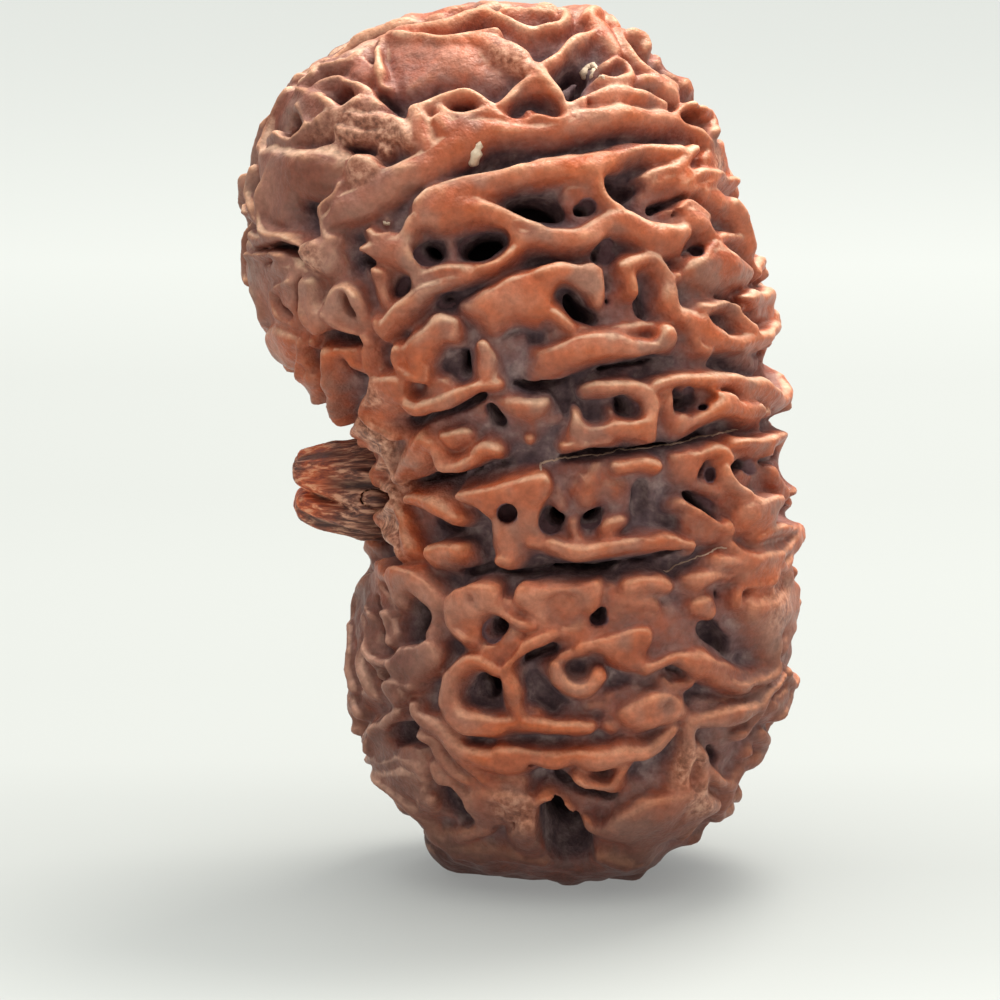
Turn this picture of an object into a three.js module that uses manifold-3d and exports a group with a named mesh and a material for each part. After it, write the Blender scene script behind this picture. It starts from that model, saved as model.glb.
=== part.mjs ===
// A rudraksha seed: the hard, deeply furrowed stone of the fruit, kidney shaped, with the stub of its
// fibrous stalk still standing in the hollow at its waist. It stands on a small flat spot at its lower end.
// Millimetres, +Z up. The origin is the middle of the flat spot. The stalk points along -X; the far edge
// of the stone, where the dividing lines of the two sides meet, faces +X; the broad faces look along -Y and +Y.
import * as THREE from "three";
import { mergeVertices } from "three/addons/utils/BufferGeometryUtils.js";
import Module from "manifold-3d";

const wasm = await Module();
wasm.setup();

// ---- driving dimensions (mm) -------------------------------------------------------------------
const Z_LOW = -0.33; // lower pole of the full form, below the flat spot that cuts it off
const Z_TOP = 32.13; // upper pole: the height that the seed stands to
const SECTION_POWER = 2.25; // horizontal sections are slightly squarer than an ellipse
const FURROW_DEPTH = 1.45; // depth of the lines between two faces
const FURROW_HALF = 0.62; // half width of those lines
const LUMP_DEPTH = 1.0; // how far the hollows between the knobs go in
const FLAT_RADIUS = 3.3; // nothing is furrowed within this distance of the flat spot's middle
const HOLLOW_DEPTH = 1.7; // the stalk's hollow at the waist
const HOLLOW_RADIUS = 2.7;
const STALK_TIP = new THREE.Vector3(-9.7, 0, 14.52);
const STALK_DIR = new THREE.Vector3(-0.986, 0, 0.165).normalize(); // from the stone outwards
const STALK_LENGTH = 6.1;
const STALK_R_TIP = 1.3;
const STALK_R_SWELL = 1.95; // its widest, at the mouth of the hollow
const STALK_R_WAIST = 1.36;
const SOCKET_GAP = 0.32; // clear space around the stalk where it stands in the stone

// Half width / sin(phi), middle offset along X and half depth / sin(phi), at 21 even steps of phi from the
// lower pole to the upper one, where height = Z_LOW + (Z_TOP - Z_LOW) (1 - cos phi) / 2.
const HALF_WIDTH = [14.5, 14.4, 13.4, 12.1, 11.3, 10.7, 10.1, 9.4, 8.6, 7.95, 8.0, 9.1, 9.95, 10.5, 11.05, 11.65, 12.25, 12.7, 12.6, 11.6, 11.2];
const MIDDLE_X = [0.0, 0.0, 0.03, 0.08, 0.14, 0.27, 0.4, 0.5, 0.74, 0.98, 0.6, -0.75, -1.65, -2.2, -2.5, -2.54, -2.45, -2.2, -1.75, -1.35, -1.25];
const HALF_DEPTH = [14.2, 13.9, 12.8, 11.2, 10.2, 9.6, 9.1, 8.7, 8.4, 8.25, 8.3, 8.6, 8.9, 9.2, 9.5, 9.8, 10.1, 10.4, 10.6, 10.8, 11.0];

// The lines that part the faces, from the stalk (180 degrees) round the front (-Y) to the far edge (0) and
// round the back (+Y): height at each bearing.
const BEARINGS = [-180, -135, -90, -45, 0, 45, 90, 135, 180];
//               stalk  back-left  back  back-right  edge  front-right  front  front-left  stalk
const LINES = [
  [12.0, 7.2, 4.9, 6.4, 8.0, 5.9, 4.45, 7.0, 12.0],
  [12.9, 11.2, 10.4, 11.6, 13.3, 11.7, 10.9, 11.6, 12.9],
  [14.0, 14.1, 14.7, 15.7, 16.6, 16.3, 15.4, 14.4, 14.0],
  [15.0, 16.5, 18.2, 18.4, 18.6, 19.0, 18.7, 16.4, 15.0],
  [16.2, 20.2, 22.1, 22.6, 23.3, 23.0, 22.7, 19.9, 16.2],
  [17.3, 23.7, 26.0, 26.6, 26.9, 27.2, 26.7, 24.0, 17.3],
  [18.4, 27.2, 29.3, 30.0, 30.1, 30.5, 29.9, 27.5, 18.4],
];
const COLUMNS = 64;
const STEPS = [0, 0.09, 0.2, 0.34, 0.5, 0.66, 0.8, 0.91]; // rows between one line and the next

// ---- small helpers -----------------------------------------------------------------------------
const clamp01 = (t) => Math.min(1, Math.max(0, t));
const smooth = (a, b, t) => {
  const s = clamp01((t - a) / (b - a));
  return s * s * (3 - 2 * s);
};

// Catmull-Rom through evenly spaced values, x in steps.
function curve(values, x) {
  const n = values.length - 1;
  const i = Math.min(n - 1, Math.max(0, Math.floor(x)));
  const t = x - i;
  const p0 = values[Math.max(0, i - 1)], p1 = values[i], p2 = values[i + 1], p3 = values[Math.min(n, i + 2)];
  return 0.5 * (2 * p1 + (p2 - p0) * t + (2 * p0 - 5 * p1 + 4 * p2 - p3) * t * t + (3 * p1 - p0 - 3 * p2 + p3) * t * t * t);
}

const phiOf = (z) => Math.acos(Math.min(1, Math.max(-1, 1 - (2 * (z - Z_LOW)) / (Z_TOP - Z_LOW))));
const zOf = (phi) => Z_LOW + ((Z_TOP - Z_LOW) * (1 - Math.cos(phi))) / 2;

// A point of the smooth outer form. bearing is in radians: 0 is +X, pi/2 is the front, -Y.
function outer(phi, bearing) {
  const k = (phi / Math.PI) * 20;
  const s = Math.sin(phi);
  const c = Math.cos(bearing), w = Math.sin(bearing);
  const q = 2 / SECTION_POWER;
  const a = curve(HALF_WIDTH, k) * s, b = curve(HALF_DEPTH, k) * s;
  return new THREE.Vector3(
    curve(MIDDLE_X, k) + a * Math.sign(c) * Math.abs(c) ** q,
    -b * Math.sign(w) * Math.abs(w) ** q,
    zOf(phi),
  );
}

function outerNormal(phi, bearing) {
  const d = 1e-3;
  const p = THREE.MathUtils.clamp(phi, 2 * d, Math.PI - 2 * d);
  const du = outer(p + d, bearing).sub(outer(p - d, bearing));
  const dv = outer(p, bearing + d).sub(outer(p, bearing - d));
  return du.cross(dv).normalize();
}

// Repeatable lumps: a sum of a few waves whose directions never line up.
const WAVES = [
  [0.97, 0.31, 0.52, 0.4], [-0.41, 1.02, 0.38, 2.1], [0.29, -0.57, 1.05, 4.4],
  [0.83, 0.76, -0.35, 1.3], [-0.66, 0.44, 0.87, 5.2], [0.52, -0.93, -0.47, 3.3],
];
function lumps(p, size) {
  let s = 0;
  for (const [x, y, z, shift] of WAVES) s += Math.sin(((p.x * x + p.y * y + p.z * z) * 2 * Math.PI) / size + shift);
  return s / 3; // about -1 to 1
}

// ---- the stone ---------------------------------------------------------------------------------
function stoneGeometry() {
  const rows = [];
  const lineAt = (line, bearing) => {
    let deg = THREE.MathUtils.radToDeg(bearing);
    if (deg > 180) deg -= 360;
    return curve(line, (deg + 180) / 45);
  };
  const edges = LINES.length + 2;
  for (let k = 0; k < edges - 1; k++)
    for (let i = 0; i < STEPS.length; i++) {
      if (k === 0 && i === 0) continue; // the pole itself
      rows.push([k, STEPS[i]]);
    }
  const position = [];
  const phiEdge = (k, bearing) =>
    k === 0 ? 0 : k === edges - 1 ? Math.PI : phiOf(lineAt(LINES[k - 1], bearing));
  for (const [k, f] of rows)
    for (let j = 0; j < COLUMNS; j++) {
      const bearing = (j / COLUMNS) * 2 * Math.PI;
      const lo = phiEdge(k, bearing), hi = phiEdge(k + 1, bearing);
      const phi = lo + (hi - lo) * f;
      const p = outer(phi, bearing), n = outerNormal(phi, bearing);
      // distance to the nearest dividing line, along the surface
      const below = k === 0 ? 99 : p.distanceTo(outer(lo, bearing));
      const above = k === edges - 2 ? 99 : p.distanceTo(outer(hi, bearing));
      const near = Math.min(below, above);
      let depth = FURROW_DEPTH * Math.exp(-((near / FURROW_HALF) ** 2));
      // knobs: long along the faces, broken by hollows
      const knob = smooth(-0.15, 0.75, lumps(new THREE.Vector3(p.x, p.y, p.z * 1.25), 4.6) * 0.75 + lumps(p, 2.9) * 0.45);
      depth = Math.max(depth, LUMP_DEPTH * (1 - knob) * smooth(0, 0.9, near));
      // towards the stalk the stone falls into its hollow
      const along = p.clone().sub(STALK_TIP).dot(STALK_DIR);
      const axis = p.clone().sub(STALK_TIP).addScaledVector(STALK_DIR, -along).length();
      if (p.x < 0) depth = depth * smooth(1.2, 3.4, axis) + HOLLOW_DEPTH * Math.exp(-((axis / HOLLOW_RADIUS) ** 2));
      // and round the flat spot it is whole
      depth *= p.z < 6 ? smooth(FLAT_RADIUS, FLAT_RADIUS + 1.6, Math.hypot(p.x, p.y)) : 1;
      p.addScaledVector(n, -depth);
      position.push(p.x, p.y, p.z);
    }
  const low = outer(0, 0), high = outer(Math.PI, 0);
  const lowAt = position.length / 3;
  position.push(low.x, low.y, low.z);
  const highAt = lowAt + 1;
  position.push(high.x, high.y, high.z - 0.25);
  const index = [];
  const at = (r, j) => r * COLUMNS + (j % COLUMNS);
  for (let j = 0; j < COLUMNS; j++) {
    index.push(lowAt, at(0, j), at(0, j + 1));
    for (let r = 0; r < rows.length - 1; r++)
      index.push(at(r, j), at(r + 1, j), at(r + 1, j + 1), at(r, j), at(r + 1, j + 1), at(r, j + 1));
    index.push(at(rows.length - 1, j), highAt, at(rows.length - 1, j + 1));
  }
  const g = new THREE.BufferGeometry();
  g.setAttribute("position", new THREE.Float32BufferAttribute(position, 3));
  g.setIndex(index);
  return g;
}

// ---- solids from geometry and back -------------------------------------------------------------
function solid(geometry, matrix) {
  const g = geometry.clone();
  if (matrix) g.applyMatrix4(matrix);
  g.deleteAttribute("normal");
  g.deleteAttribute("uv");
  const merged = mergeVertices(g, 1e-4);
  let triVerts = new Uint32Array(merged.index.array);
  const vertProperties = new Float32Array(merged.attributes.position.array);
  let made = new wasm.Manifold(new wasm.Mesh({ numProp: 3, vertProperties, triVerts }));
  if (made.volume() < 0) {
    triVerts = triVerts.map((v, i, all) => (i % 3 === 1 ? all[i + 1] : i % 3 === 2 ? all[i - 1] : v));
    made = new wasm.Manifold(new wasm.Mesh({ numProp: 3, vertProperties, triVerts }));
  }
  return made;
}

function geometryOf(made) {
  const m = made.getMesh();
  const g = new THREE.BufferGeometry();
  g.setAttribute("position", new THREE.Float32BufferAttribute(m.vertProperties, 3));
  g.setIndex(Array.from(m.triVerts));
  g.computeVertexNormals();
  return g;
}

// Everything below the surface that the seed stands on is cut away, which leaves the flat spot.
const ground = solid(new THREE.BoxGeometry(40, 40, 10), new THREE.Matrix4().makeTranslation(0, 0, -5));

// The stalk's frame: its own +Y runs from the base to the tip.
const stalkTurn = new THREE.Quaternion().setFromUnitVectors(new THREE.Vector3(0, 1, 0), STALK_DIR);
const stalkBase = STALK_TIP.clone().addScaledVector(STALK_DIR, -STALK_LENGTH);
const stalkFrame = new THREE.Matrix4().compose(stalkBase, stalkTurn, new THREE.Vector3(1, 1, 1));

// The socket that the stalk stands in, open to the hollow.
const socketR = STALK_R_WAIST + 0.12 + SOCKET_GAP;
const socket = solid(
  new THREE.LatheGeometry(
    [
      new THREE.Vector2(0, -SOCKET_GAP),
      new THREE.Vector2(socketR * 0.86, -SOCKET_GAP),
      new THREE.Vector2(socketR, 0.25),
      new THREE.Vector2(socketR, 2.2),
      new THREE.Vector2(socketR + 0.75, 4.6),
      new THREE.Vector2(socketR + 1.6, 7.5),
      new THREE.Vector2(0, 7.5),
    ],
    28,
  ),
  stalkFrame,
);

const stone = solid(stoneGeometry()).subtract(ground).subtract(socket);

// ---- the stalk stub ----------------------------------------------------------------------------
// A bundle of stiff fibres: waisted in the stone, swelling at the mouth of the hollow, narrower at its torn,
// uneven end.
function stalkGeometry() {
  const sides = 44, rings = 9;
  const position = [];
  const fibre = (a) => 0.075 * Math.cos(11 * a + 0.6) + 0.045 * Math.cos(17 * a + 2.2);
  for (let r = 0; r <= rings; r++)
    for (let s = 0; s < sides; s++) {
      const a = (s / sides) * 2 * Math.PI;
      const t = r / rings;
      const torn = t === 1 ? 0.24 * Math.cos(2 * a + 0.7) + 0.13 * Math.cos(5 * a + 1.9) - 0.24 : 0;
      const radius = STALK_R_WAIST + (STALK_R_SWELL - STALK_R_WAIST) * smooth(0.28, 0.6, t) + (STALK_R_TIP - STALK_R_SWELL) * smooth(0.66, 1, t);
      const ripple = fibre(a + 0.12 * t) * smooth(0.02, 0.3, t);
      position.push((radius + ripple - 0.1) * Math.cos(a), t * STALK_LENGTH + torn, (radius + ripple - 0.1) * Math.sin(a));
    }
  const base = position.length / 3;
  position.push(0, 0, 0, 0, STALK_LENGTH - 0.45, 0);
  const index = [];
  const at = (r, s) => r * sides + (s % sides);
  for (let s = 0; s < sides; s++) {
    index.push(base, at(0, s), at(0, s + 1));
    for (let r = 0; r < rings; r++)
      index.push(at(r, s), at(r + 1, s), at(r + 1, s + 1), at(r, s), at(r + 1, s + 1), at(r, s + 1));
    index.push(at(rings, s), base + 1, at(rings, s + 1));
  }
  const g = new THREE.BufferGeometry();
  g.setAttribute("position", new THREE.Float32BufferAttribute(position, 3));
  g.setIndex(index);
  return g;
}
const stalk = solid(stalkGeometry());

// ---- the assembled seed ------------------------------------------------------------------------
const seed = new THREE.Group();

const stoneMesh = new THREE.Mesh(
  geometryOf(stone),
  new THREE.MeshStandardMaterial({ color: new THREE.Color(0.42, 0.17, 0.1), roughness: 0.5, metalness: 0 }),
);
stoneMesh.name = "seed_stone";
seed.add(stoneMesh);

const stalkMesh = new THREE.Mesh(
  geometryOf(stalk),
  new THREE.MeshStandardMaterial({ color: new THREE.Color(0.3, 0.13, 0.08), roughness: 0.75, metalness: 0 }),
);
stalkMesh.name = "stalk_stub";
stalkMesh.position.copy(stalkBase);
stalkMesh.quaternion.copy(stalkTurn);
seed.add(stalkMesh);

export default seed;
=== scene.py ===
import math
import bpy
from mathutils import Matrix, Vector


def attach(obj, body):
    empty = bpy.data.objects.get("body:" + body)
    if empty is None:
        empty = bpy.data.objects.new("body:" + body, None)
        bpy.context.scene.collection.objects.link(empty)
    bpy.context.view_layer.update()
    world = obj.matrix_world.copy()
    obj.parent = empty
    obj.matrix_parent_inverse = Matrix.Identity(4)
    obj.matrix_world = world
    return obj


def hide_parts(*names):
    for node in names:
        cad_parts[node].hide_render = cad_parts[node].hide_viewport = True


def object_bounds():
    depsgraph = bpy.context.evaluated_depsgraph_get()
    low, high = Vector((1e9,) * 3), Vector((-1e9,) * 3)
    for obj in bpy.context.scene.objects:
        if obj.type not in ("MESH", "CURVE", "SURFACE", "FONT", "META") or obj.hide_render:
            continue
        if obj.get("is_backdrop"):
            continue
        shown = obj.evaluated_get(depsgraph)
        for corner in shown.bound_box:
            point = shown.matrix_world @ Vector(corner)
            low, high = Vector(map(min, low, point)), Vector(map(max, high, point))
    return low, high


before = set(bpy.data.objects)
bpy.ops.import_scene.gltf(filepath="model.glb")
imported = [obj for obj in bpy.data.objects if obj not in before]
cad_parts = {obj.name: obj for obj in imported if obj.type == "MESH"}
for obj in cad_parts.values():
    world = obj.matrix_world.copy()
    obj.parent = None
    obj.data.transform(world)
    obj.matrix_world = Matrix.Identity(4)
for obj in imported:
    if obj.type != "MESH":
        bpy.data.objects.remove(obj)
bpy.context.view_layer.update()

from concurrent.futures import ThreadPoolExecutor

import bpy
import numpy as np
import openvdb as vdb
from mathutils import Vector
from mathutils.bvhtree import BVHTree

# A rudraksha seed. Lengths are in millimetres until a mesh is made; a mesh is in metres.
# The stone is carved as a distance field: a smooth kidney form, raised ridges, knobs and plates on it, and
# pits and furrows cut into it. It is then turned into one closed mesh.

VOXEL = 0.1
SKY_BASE, SKY_TOP, SKY_POWER = 0.12, 3.55, 3.0
COARSE = 0.25

# ------------------------------------------------------------------ camera
ELEVATION = math.radians(10.0)
DISTANCE = 200.0
FOCAL = 5480.0  # in pixels of a 1000 wide picture
AIM = np.array([-2.216, 0.0, 13.801])
LOOK = np.array([0.0, math.cos(ELEVATION), -math.sin(ELEVATION)])
RIGHT = np.array([1.0, 0.0, 0.0])
UP = np.array([0.0, math.sin(ELEVATION), math.cos(ELEVATION)])
EYE = AIM - DISTANCE * LOOK

# ------------------------------------------------------------------ the smooth form, as in the CAD model
Z_LOW, Z_TOP, SECTION_POWER = -0.33, 32.13, 2.25
HALF_WIDTH = [14.5, 14.4, 13.4, 12.1, 11.3, 10.7, 10.1, 9.4, 8.6, 7.95, 8.0, 9.1, 9.95, 10.5, 11.05, 11.65, 12.25, 12.7, 12.6, 11.6, 11.2]
MIDDLE_X = [0.0, 0.0, 0.03, 0.08, 0.14, 0.27, 0.4, 0.5, 0.74, 0.98, 0.6, -0.75, -1.65, -2.2, -2.5, -2.54, -2.45, -2.2, -1.75, -1.35, -1.25]
HALF_DEPTH = [14.2, 13.9, 12.8, 11.2, 10.2, 9.6, 9.1, 8.7, 8.4, 8.25, 8.3, 8.6, 8.9, 9.2, 9.5, 9.8, 10.1, 10.4, 10.6, 10.8, 11.0]
LINES = np.array([
    [12.0, 7.2, 4.9, 6.4, 8.0, 5.9, 4.45, 7.0, 12.0],
    [12.9, 11.2, 10.4, 11.6, 13.3, 11.7, 10.9, 11.6, 12.9],
    [14.0, 14.1, 14.7, 15.7, 16.6, 16.3, 15.4, 14.4, 14.0],
    [15.0, 16.5, 18.2, 18.4, 18.6, 19.0, 18.7, 16.4, 15.0],
    [16.2, 20.2, 22.1, 22.6, 23.3, 23.0, 22.7, 19.9, 16.2],
    [17.3, 23.7, 26.0, 26.6, 26.9, 27.2, 26.7, 24.0, 17.3],
    [18.4, 27.2, 29.3, 30.0, 30.1, 30.5, 29.9, 27.5, 18.4],
])
STALK_TIP = np.array([-9.7, 0.0, 14.52])
STALK_DIR = np.array([-0.986, 0.0, 0.165]) / math.hypot(0.986, 0.165)
STALK_LENGTH = 6.1


def curve(values, x):
    v = np.asarray(values, float)
    n = len(v) - 1
    i = np.clip(np.floor(x).astype(int), 0, n - 1)
    t = x - i
    p0, p1, p2, p3 = v[np.maximum(i - 1, 0)], v[i], v[i + 1], v[np.minimum(i + 2, n)]
    return 0.5 * (2 * p1 + (p2 - p0) * t + (2 * p0 - 5 * p1 + 4 * p2 - p3) * t**2 + (3 * p1 - p0 - 3 * p2 + p3) * t**3)


def outer(phi, bearing):
    k = phi / math.pi * 20
    s, c, w, q = np.sin(phi), np.cos(bearing), np.sin(bearing), 2 / SECTION_POWER
    a, b = curve(HALF_WIDTH, k) * s, curve(HALF_DEPTH, k) * s
    x = curve(MIDDLE_X, k) + a * np.sign(c) * np.abs(c) ** q
    y = -b * np.sign(w) * np.abs(w) ** q
    return np.stack([x, y, Z_LOW + (Z_TOP - Z_LOW) * (1 - np.cos(phi)) / 2 + 0 * x], -1)


def phi_of(z):
    return np.arccos(np.clip(1 - 2 * (z - Z_LOW) / (Z_TOP - Z_LOW), -1, 1))


def line_heights(degrees):
    """Heights of the poles and the seven dividing lines at a bearing in degrees, -180 to 180."""
    x = (np.asarray(degrees, float) + 180) / 45
    return np.stack([Z_LOW + 0 * x, *[curve(line, x) for line in LINES], Z_TOP + 0 * x], -1)


def spot(t, degrees):
    """A point of the smooth form: t counts dividing lines from the lower pole (0) to the upper one (8)."""
    t, degrees = np.broadcast_arrays(np.asarray(t, float), np.asarray(degrees, float))
    d = (degrees + 180) % 360 - 180
    phis = phi_of(line_heights(d))
    i = np.clip(np.floor(t).astype(int), 0, 7)
    lo, hi = np.take_along_axis(phis, i[..., None], -1)[..., 0], np.take_along_axis(phis, i[..., None] + 1, -1)[..., 0]
    return outer(lo + (hi - lo) * (t - i), np.radians(d))


# ------------------------------------------------------------------ grids
def pole_mesh(rows=120, columns=180):
    phi = np.linspace(0, math.pi, rows + 1)[1:-1]
    b = np.arange(columns) * 2 * math.pi / columns
    p = outer(phi[:, None] + 0 * b, b + 0 * phi[:, None]).reshape(-1, 3)
    low, high = outer(np.array([0.0]), np.array([0.0])), outer(np.array([math.pi]), np.array([0.0]))
    points = np.concatenate([p, low, high])
    j, k = np.arange(columns), (np.arange(columns) + 1) % columns
    tri = [np.stack([j, k, 0 * j + len(p)], -1)[:, ::-1]]
    for r in range(rows - 2):
        a, b2 = r * columns, (r + 1) * columns
        tri += [np.stack([a + j, a + k, b2 + k], -1), np.stack([a + j, b2 + k, b2 + j], -1)]
    a = (rows - 2) * columns
    tri.append(np.stack([a + j, a + k, 0 * j + len(p) + 1], -1))
    return points, np.concatenate(tri)


points, tris = pole_mesh()
v0, v1, v2 = (points[tris[:, k]] for k in range(3))
if np.einsum("ij,ij->i", v0, np.cross(v1, v2)).sum() < 0:
    tris = tris[:, ::-1]
lo_c = np.floor((points.min(0) - 1.5) / COARSE).astype(int)
hi_c = np.ceil((points.max(0) + 1.5) / COARSE).astype(int)
level = vdb.FloatGrid.createLevelSetFromPolygons(
    points.astype(np.float32), triangles=np.ascontiguousarray(tris).astype(np.uint32),
    transform=vdb.createLinearTransform(COARSE), halfWidth=20)
coarse_a = np.zeros(hi_c - lo_c + 1, np.float32)
level.copyToArray(coarse_a, ijk=tuple(int(v) for v in lo_c))
origin_c = lo_c * COARSE
gx, gy, gz = np.gradient(coarse_a, COARSE)
length = np.sqrt(gx**2 + gy**2 + gz**2) + 1e-6
coarse_n = np.stack([gx, gy, gz], -1) / length[..., None]
axes_c = [origin_c[k] + COARSE * np.arange(coarse_a.shape[k]) for k in range(3)]
coarse_p = np.stack(np.meshgrid(*axes_c, indexing="ij"), -1).astype(np.float32)
coarse_s = (coarse_p - coarse_a[..., None] * coarse_n).astype(np.float32)


def sample(field, p, origin=origin_c, step=COARSE):
    """Trilinear value of a dense field at points p."""
    q = (p - origin) / step
    top = np.array(field.shape[:3]) - 1.001
    q = np.clip(q, 0, top)
    i = q.astype(int)
    t = q - i
    out = 0
    for dx in (0, 1):
        for dy in (0, 1):
            for dz in (0, 1):
                w = (t[..., 0] if dx else 1 - t[..., 0]) * (t[..., 1] if dy else 1 - t[..., 1]) * (t[..., 2] if dz else 1 - t[..., 2])
                v = field[i[..., 0] + dx, i[..., 1] + dy, i[..., 2] + dz]
                out = out + (w[..., None] * v if v.ndim > w.ndim else w * v)
    return out


def stretch(field, axis, at, smooth=False):
    """Resample one axis at fractional indices: linear, or cubic B-spline."""
    n = field.shape[axis]
    i = np.floor(at).astype(int)
    t = (at - i).astype(np.float32)
    shape = [1] * field.ndim
    shape[axis] = len(at)
    if smooth:
        parts = [(-1, (1 - t) ** 3 / 6), (0, (3 * t**3 - 6 * t**2 + 4) / 6), (1, (-3 * t**3 + 3 * t**2 + 3 * t + 1) / 6), (2, t**3 / 6)]
    else:
        parts = [(0, 1 - t), (1, t)]
    out = None
    for shift, w in parts:
        piece = np.take(field, np.clip(i + shift, 0, n - 1), axis=axis) * w.reshape(shape)
        out = piece if out is None else out + piece
    return out.astype(np.float32)


lo_f = np.floor((points.min(0) - 0.9) / VOXEL).astype(int)
hi_f = np.ceil((points.max(0) + 0.9) / VOXEL).astype(int)
lo_f[2] = int(-0.6 / VOXEL)
shape_f = hi_f - lo_f + 1
origin_f = lo_f * VOXEL
axes_f = [origin_f[k] + VOXEL * np.arange(shape_f[k]) for k in range(3)]


def to_fine(field):
    for k in range(3):
        field = stretch(field, k, (axes_f[k] - origin_c[k]) / COARSE)
    return field


def noise(step, seed, smooth=True):
    """Soft random waves over the fine grid, about -1 to 1, with lumps of about twice the step."""
    rng = np.random.default_rng(seed)
    step = np.broadcast_to(step, 3)
    size = [int((a[-1] - a[0]) / d) + 4 for a, d in zip(axes_f, step)]
    f = rng.uniform(-1, 1, size).astype(np.float32)
    for k in range(3):
        f = stretch(f, k, (axes_f[k] - axes_f[k][0]) / step[k] + 1, smooth=smooth)
    return f * 2.0


A = to_fine(coarse_a)
A -= (0.16 * np.clip(-(axes_f[0] + 2.5) / 7.0, 0, 1)).astype(np.float32)[:, None, None]  # the ridges stand a little proud on the stalk side
S = np.stack([to_fine(coarse_s[..., k]) for k in range(3)], -1)
WARP = 0.11
TILT, CROWN = 0.22, 0.48  # the ridges lean: upper edge proud, and fall off from their crests
for k in range(3):
    S[..., k] += WARP * noise(0.85, 11 + k) + 0.06 * noise(0.42, 21 + k) + 0.02 * noise(0.22, 26 + k)
# the tops of the ridges rise and fall
A += 0.16 * noise(1.5, 51) + 0.11 * noise(0.65, 52) + 0.045 * noise(0.33, 53)


def box_of(p, margin):
    lo = np.floor((p.min(0) - margin - origin_f) / VOXEL).astype(int)
    hi = np.ceil((p.max(0) + margin - origin_f) / VOXEL).astype(int) + 1
    lo, hi = np.clip(lo, 0, shape_f), np.clip(hi, 0, shape_f)
    return tuple(slice(int(a), int(b)) for a, b in zip(lo, hi))


def on_form(p):
    """The surface point under p, and the outward direction there."""
    s = sample(coarse_s, p)
    return s, sample(coarse_n, s)


def unproject(px, py, height):
    """Where the camera's ray through a pixel meets the level `height` above the smooth form, moved onto the form."""
    px, py, height = (np.asarray(v, float) for v in (px, py, height))
    ray = LOOK + RIGHT * ((px - 500) / FOCAL)[:, None] + UP * ((500 - py) / FOCAL)[:, None]
    steps = np.arange(DISTANCE - 13, DISTANCE + 13, 0.12)
    a = sample(coarse_a, EYE + ray[:, None] * steps[:, None]) - height[:, None]
    inside = a <= 0
    first = np.where(inside.any(1), inside.argmax(1), a.argmin(1))
    prev = np.maximum(first - 1, 0)
    rows = np.arange(len(px))
    a1, a0 = a[rows, first], a[rows, prev]
    t = np.where(inside.any(1) & (a0 > a1), a0 / np.maximum(a0 - a1, 1e-6), 1.0)
    at = steps[prev] + (steps[first] - steps[prev]) * t
    s, _ = on_form(EYE + ray * at[:, None])
    return s


# ------------------------------------------------------------------ the table of features
PX = 1 / 27.4  # millimetres in a pixel, for widths
features = []


def ridge(top, *knots, r=0.20, draft=0.17, wrap=0, dish=0.0, k=0.18):
    """A raised ridge or knob. top: its height over the smooth form. knots: (x, y, half width) and, if it differs, height."""
    features.append(dict(kind="ridge", top=top, knots=knots, r=r, draft=draft, wrap=wrap, dish=dish, k=k))


def plate(top, *corners, r=0.18, draft=0.17, dish=0.0, k=0.18):
    """A raised plate with that outline."""
    features.append(dict(kind="plate", top=top, knots=corners, r=r, draft=draft, dish=dish, k=k))


def filler(top, *corners):
    """Makes the ground between the ridges shallower, with soft borders."""
    plate(top, *corners, r=0.5, draft=0.5, k=0.45)


strands = []


def seam(radius, *points):
    """A thin pale suture line that lies in a furrow. radius in pixels."""
    strands.append((1.0, [(x, y, radius) for x, y in points]))


def crumb(*knots):
    """A dry, cream-coloured shred that lies on the stone. knots: (x, y, half width)."""
    strands.append((2.0, list(knots)))


bores = []


def bore(x, y, rx, ry=None, turn=0.0, depth=1.35):
    """A round or oval hole that goes straight in from the front. Radii in pixels, turn in degrees."""
    bores.append((x, y, rx, ry or rx, turn, depth))


def cut(bottom, *knots, r=0.2, k=0.08, wrap=0):
    """A pit or groove down to that depth."""
    features.append(dict(kind="cut", top=bottom, knots=knots, r=r, draft=-0.08, wrap=wrap, dish=0.0, k=k))


# --- shallow ground
filler(-.5, (246, 246), (262, 236), (300, 246), (318, 275), (330, 300), (345, 330), (362, 345), (362, 385), (345, 425), (332, 418), (305, 385), (280, 372), (262, 340), (250, 300))
filler(-.45, (300, 90), (330, 106), (345, 110), (320, 128), (300, 132), (284, 140), (262, 160), (250, 200), (246, 180), (262, 130))
filler(-.45, (350, 610), (366, 575), (388, 585), (392, 620), (386, 650), (392, 690), (400, 716), (372, 724), (356, 700), (348, 660))
filler(-.5, (366, 728), (400, 716), (425, 745), (440, 780), (436, 830), (420, 826), (392, 790), (368, 764))
filler(-.6, (742, 566), (792, 560), (805, 600), (796, 650), (786, 720), (768, 770), (735, 800), (700, 800), (700, 720), (750, 700), (770, 660), (742, 620))
filler(-.75, (430, 795), (470, 785), (530, 790), (540, 810), (505, 850), (470, 856), (432, 836))
filler(-.8, (690, 290), (700, 255), (730, 240), (760, 262), (776, 300), (770, 340), (720, 345), (690, 330))
filler(-.8, (690, 385), (770, 385), (776, 415), (700, 430))
filler(-.8, (670, 450), (770, 450), (790, 500), (770, 535), (700, 545), (670, 520))
filler(-.7, (640, 185), (700, 180), (745, 195), (760, 240), (700, 245), (650, 225))
filler(-.9, (655, 606), (700, 600), (730, 620), (760, 660), (700, 690), (650, 670))
filler(-.7, (345, 440), (400, 440), (440, 450), (430, 560), (400, 560), (372, 530), (366, 480))
filler(-.8, (440, 786), (640, 776), (700, 740), (720, 800), (640, 815), (600, 830), (540, 806), (470, 800))

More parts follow.
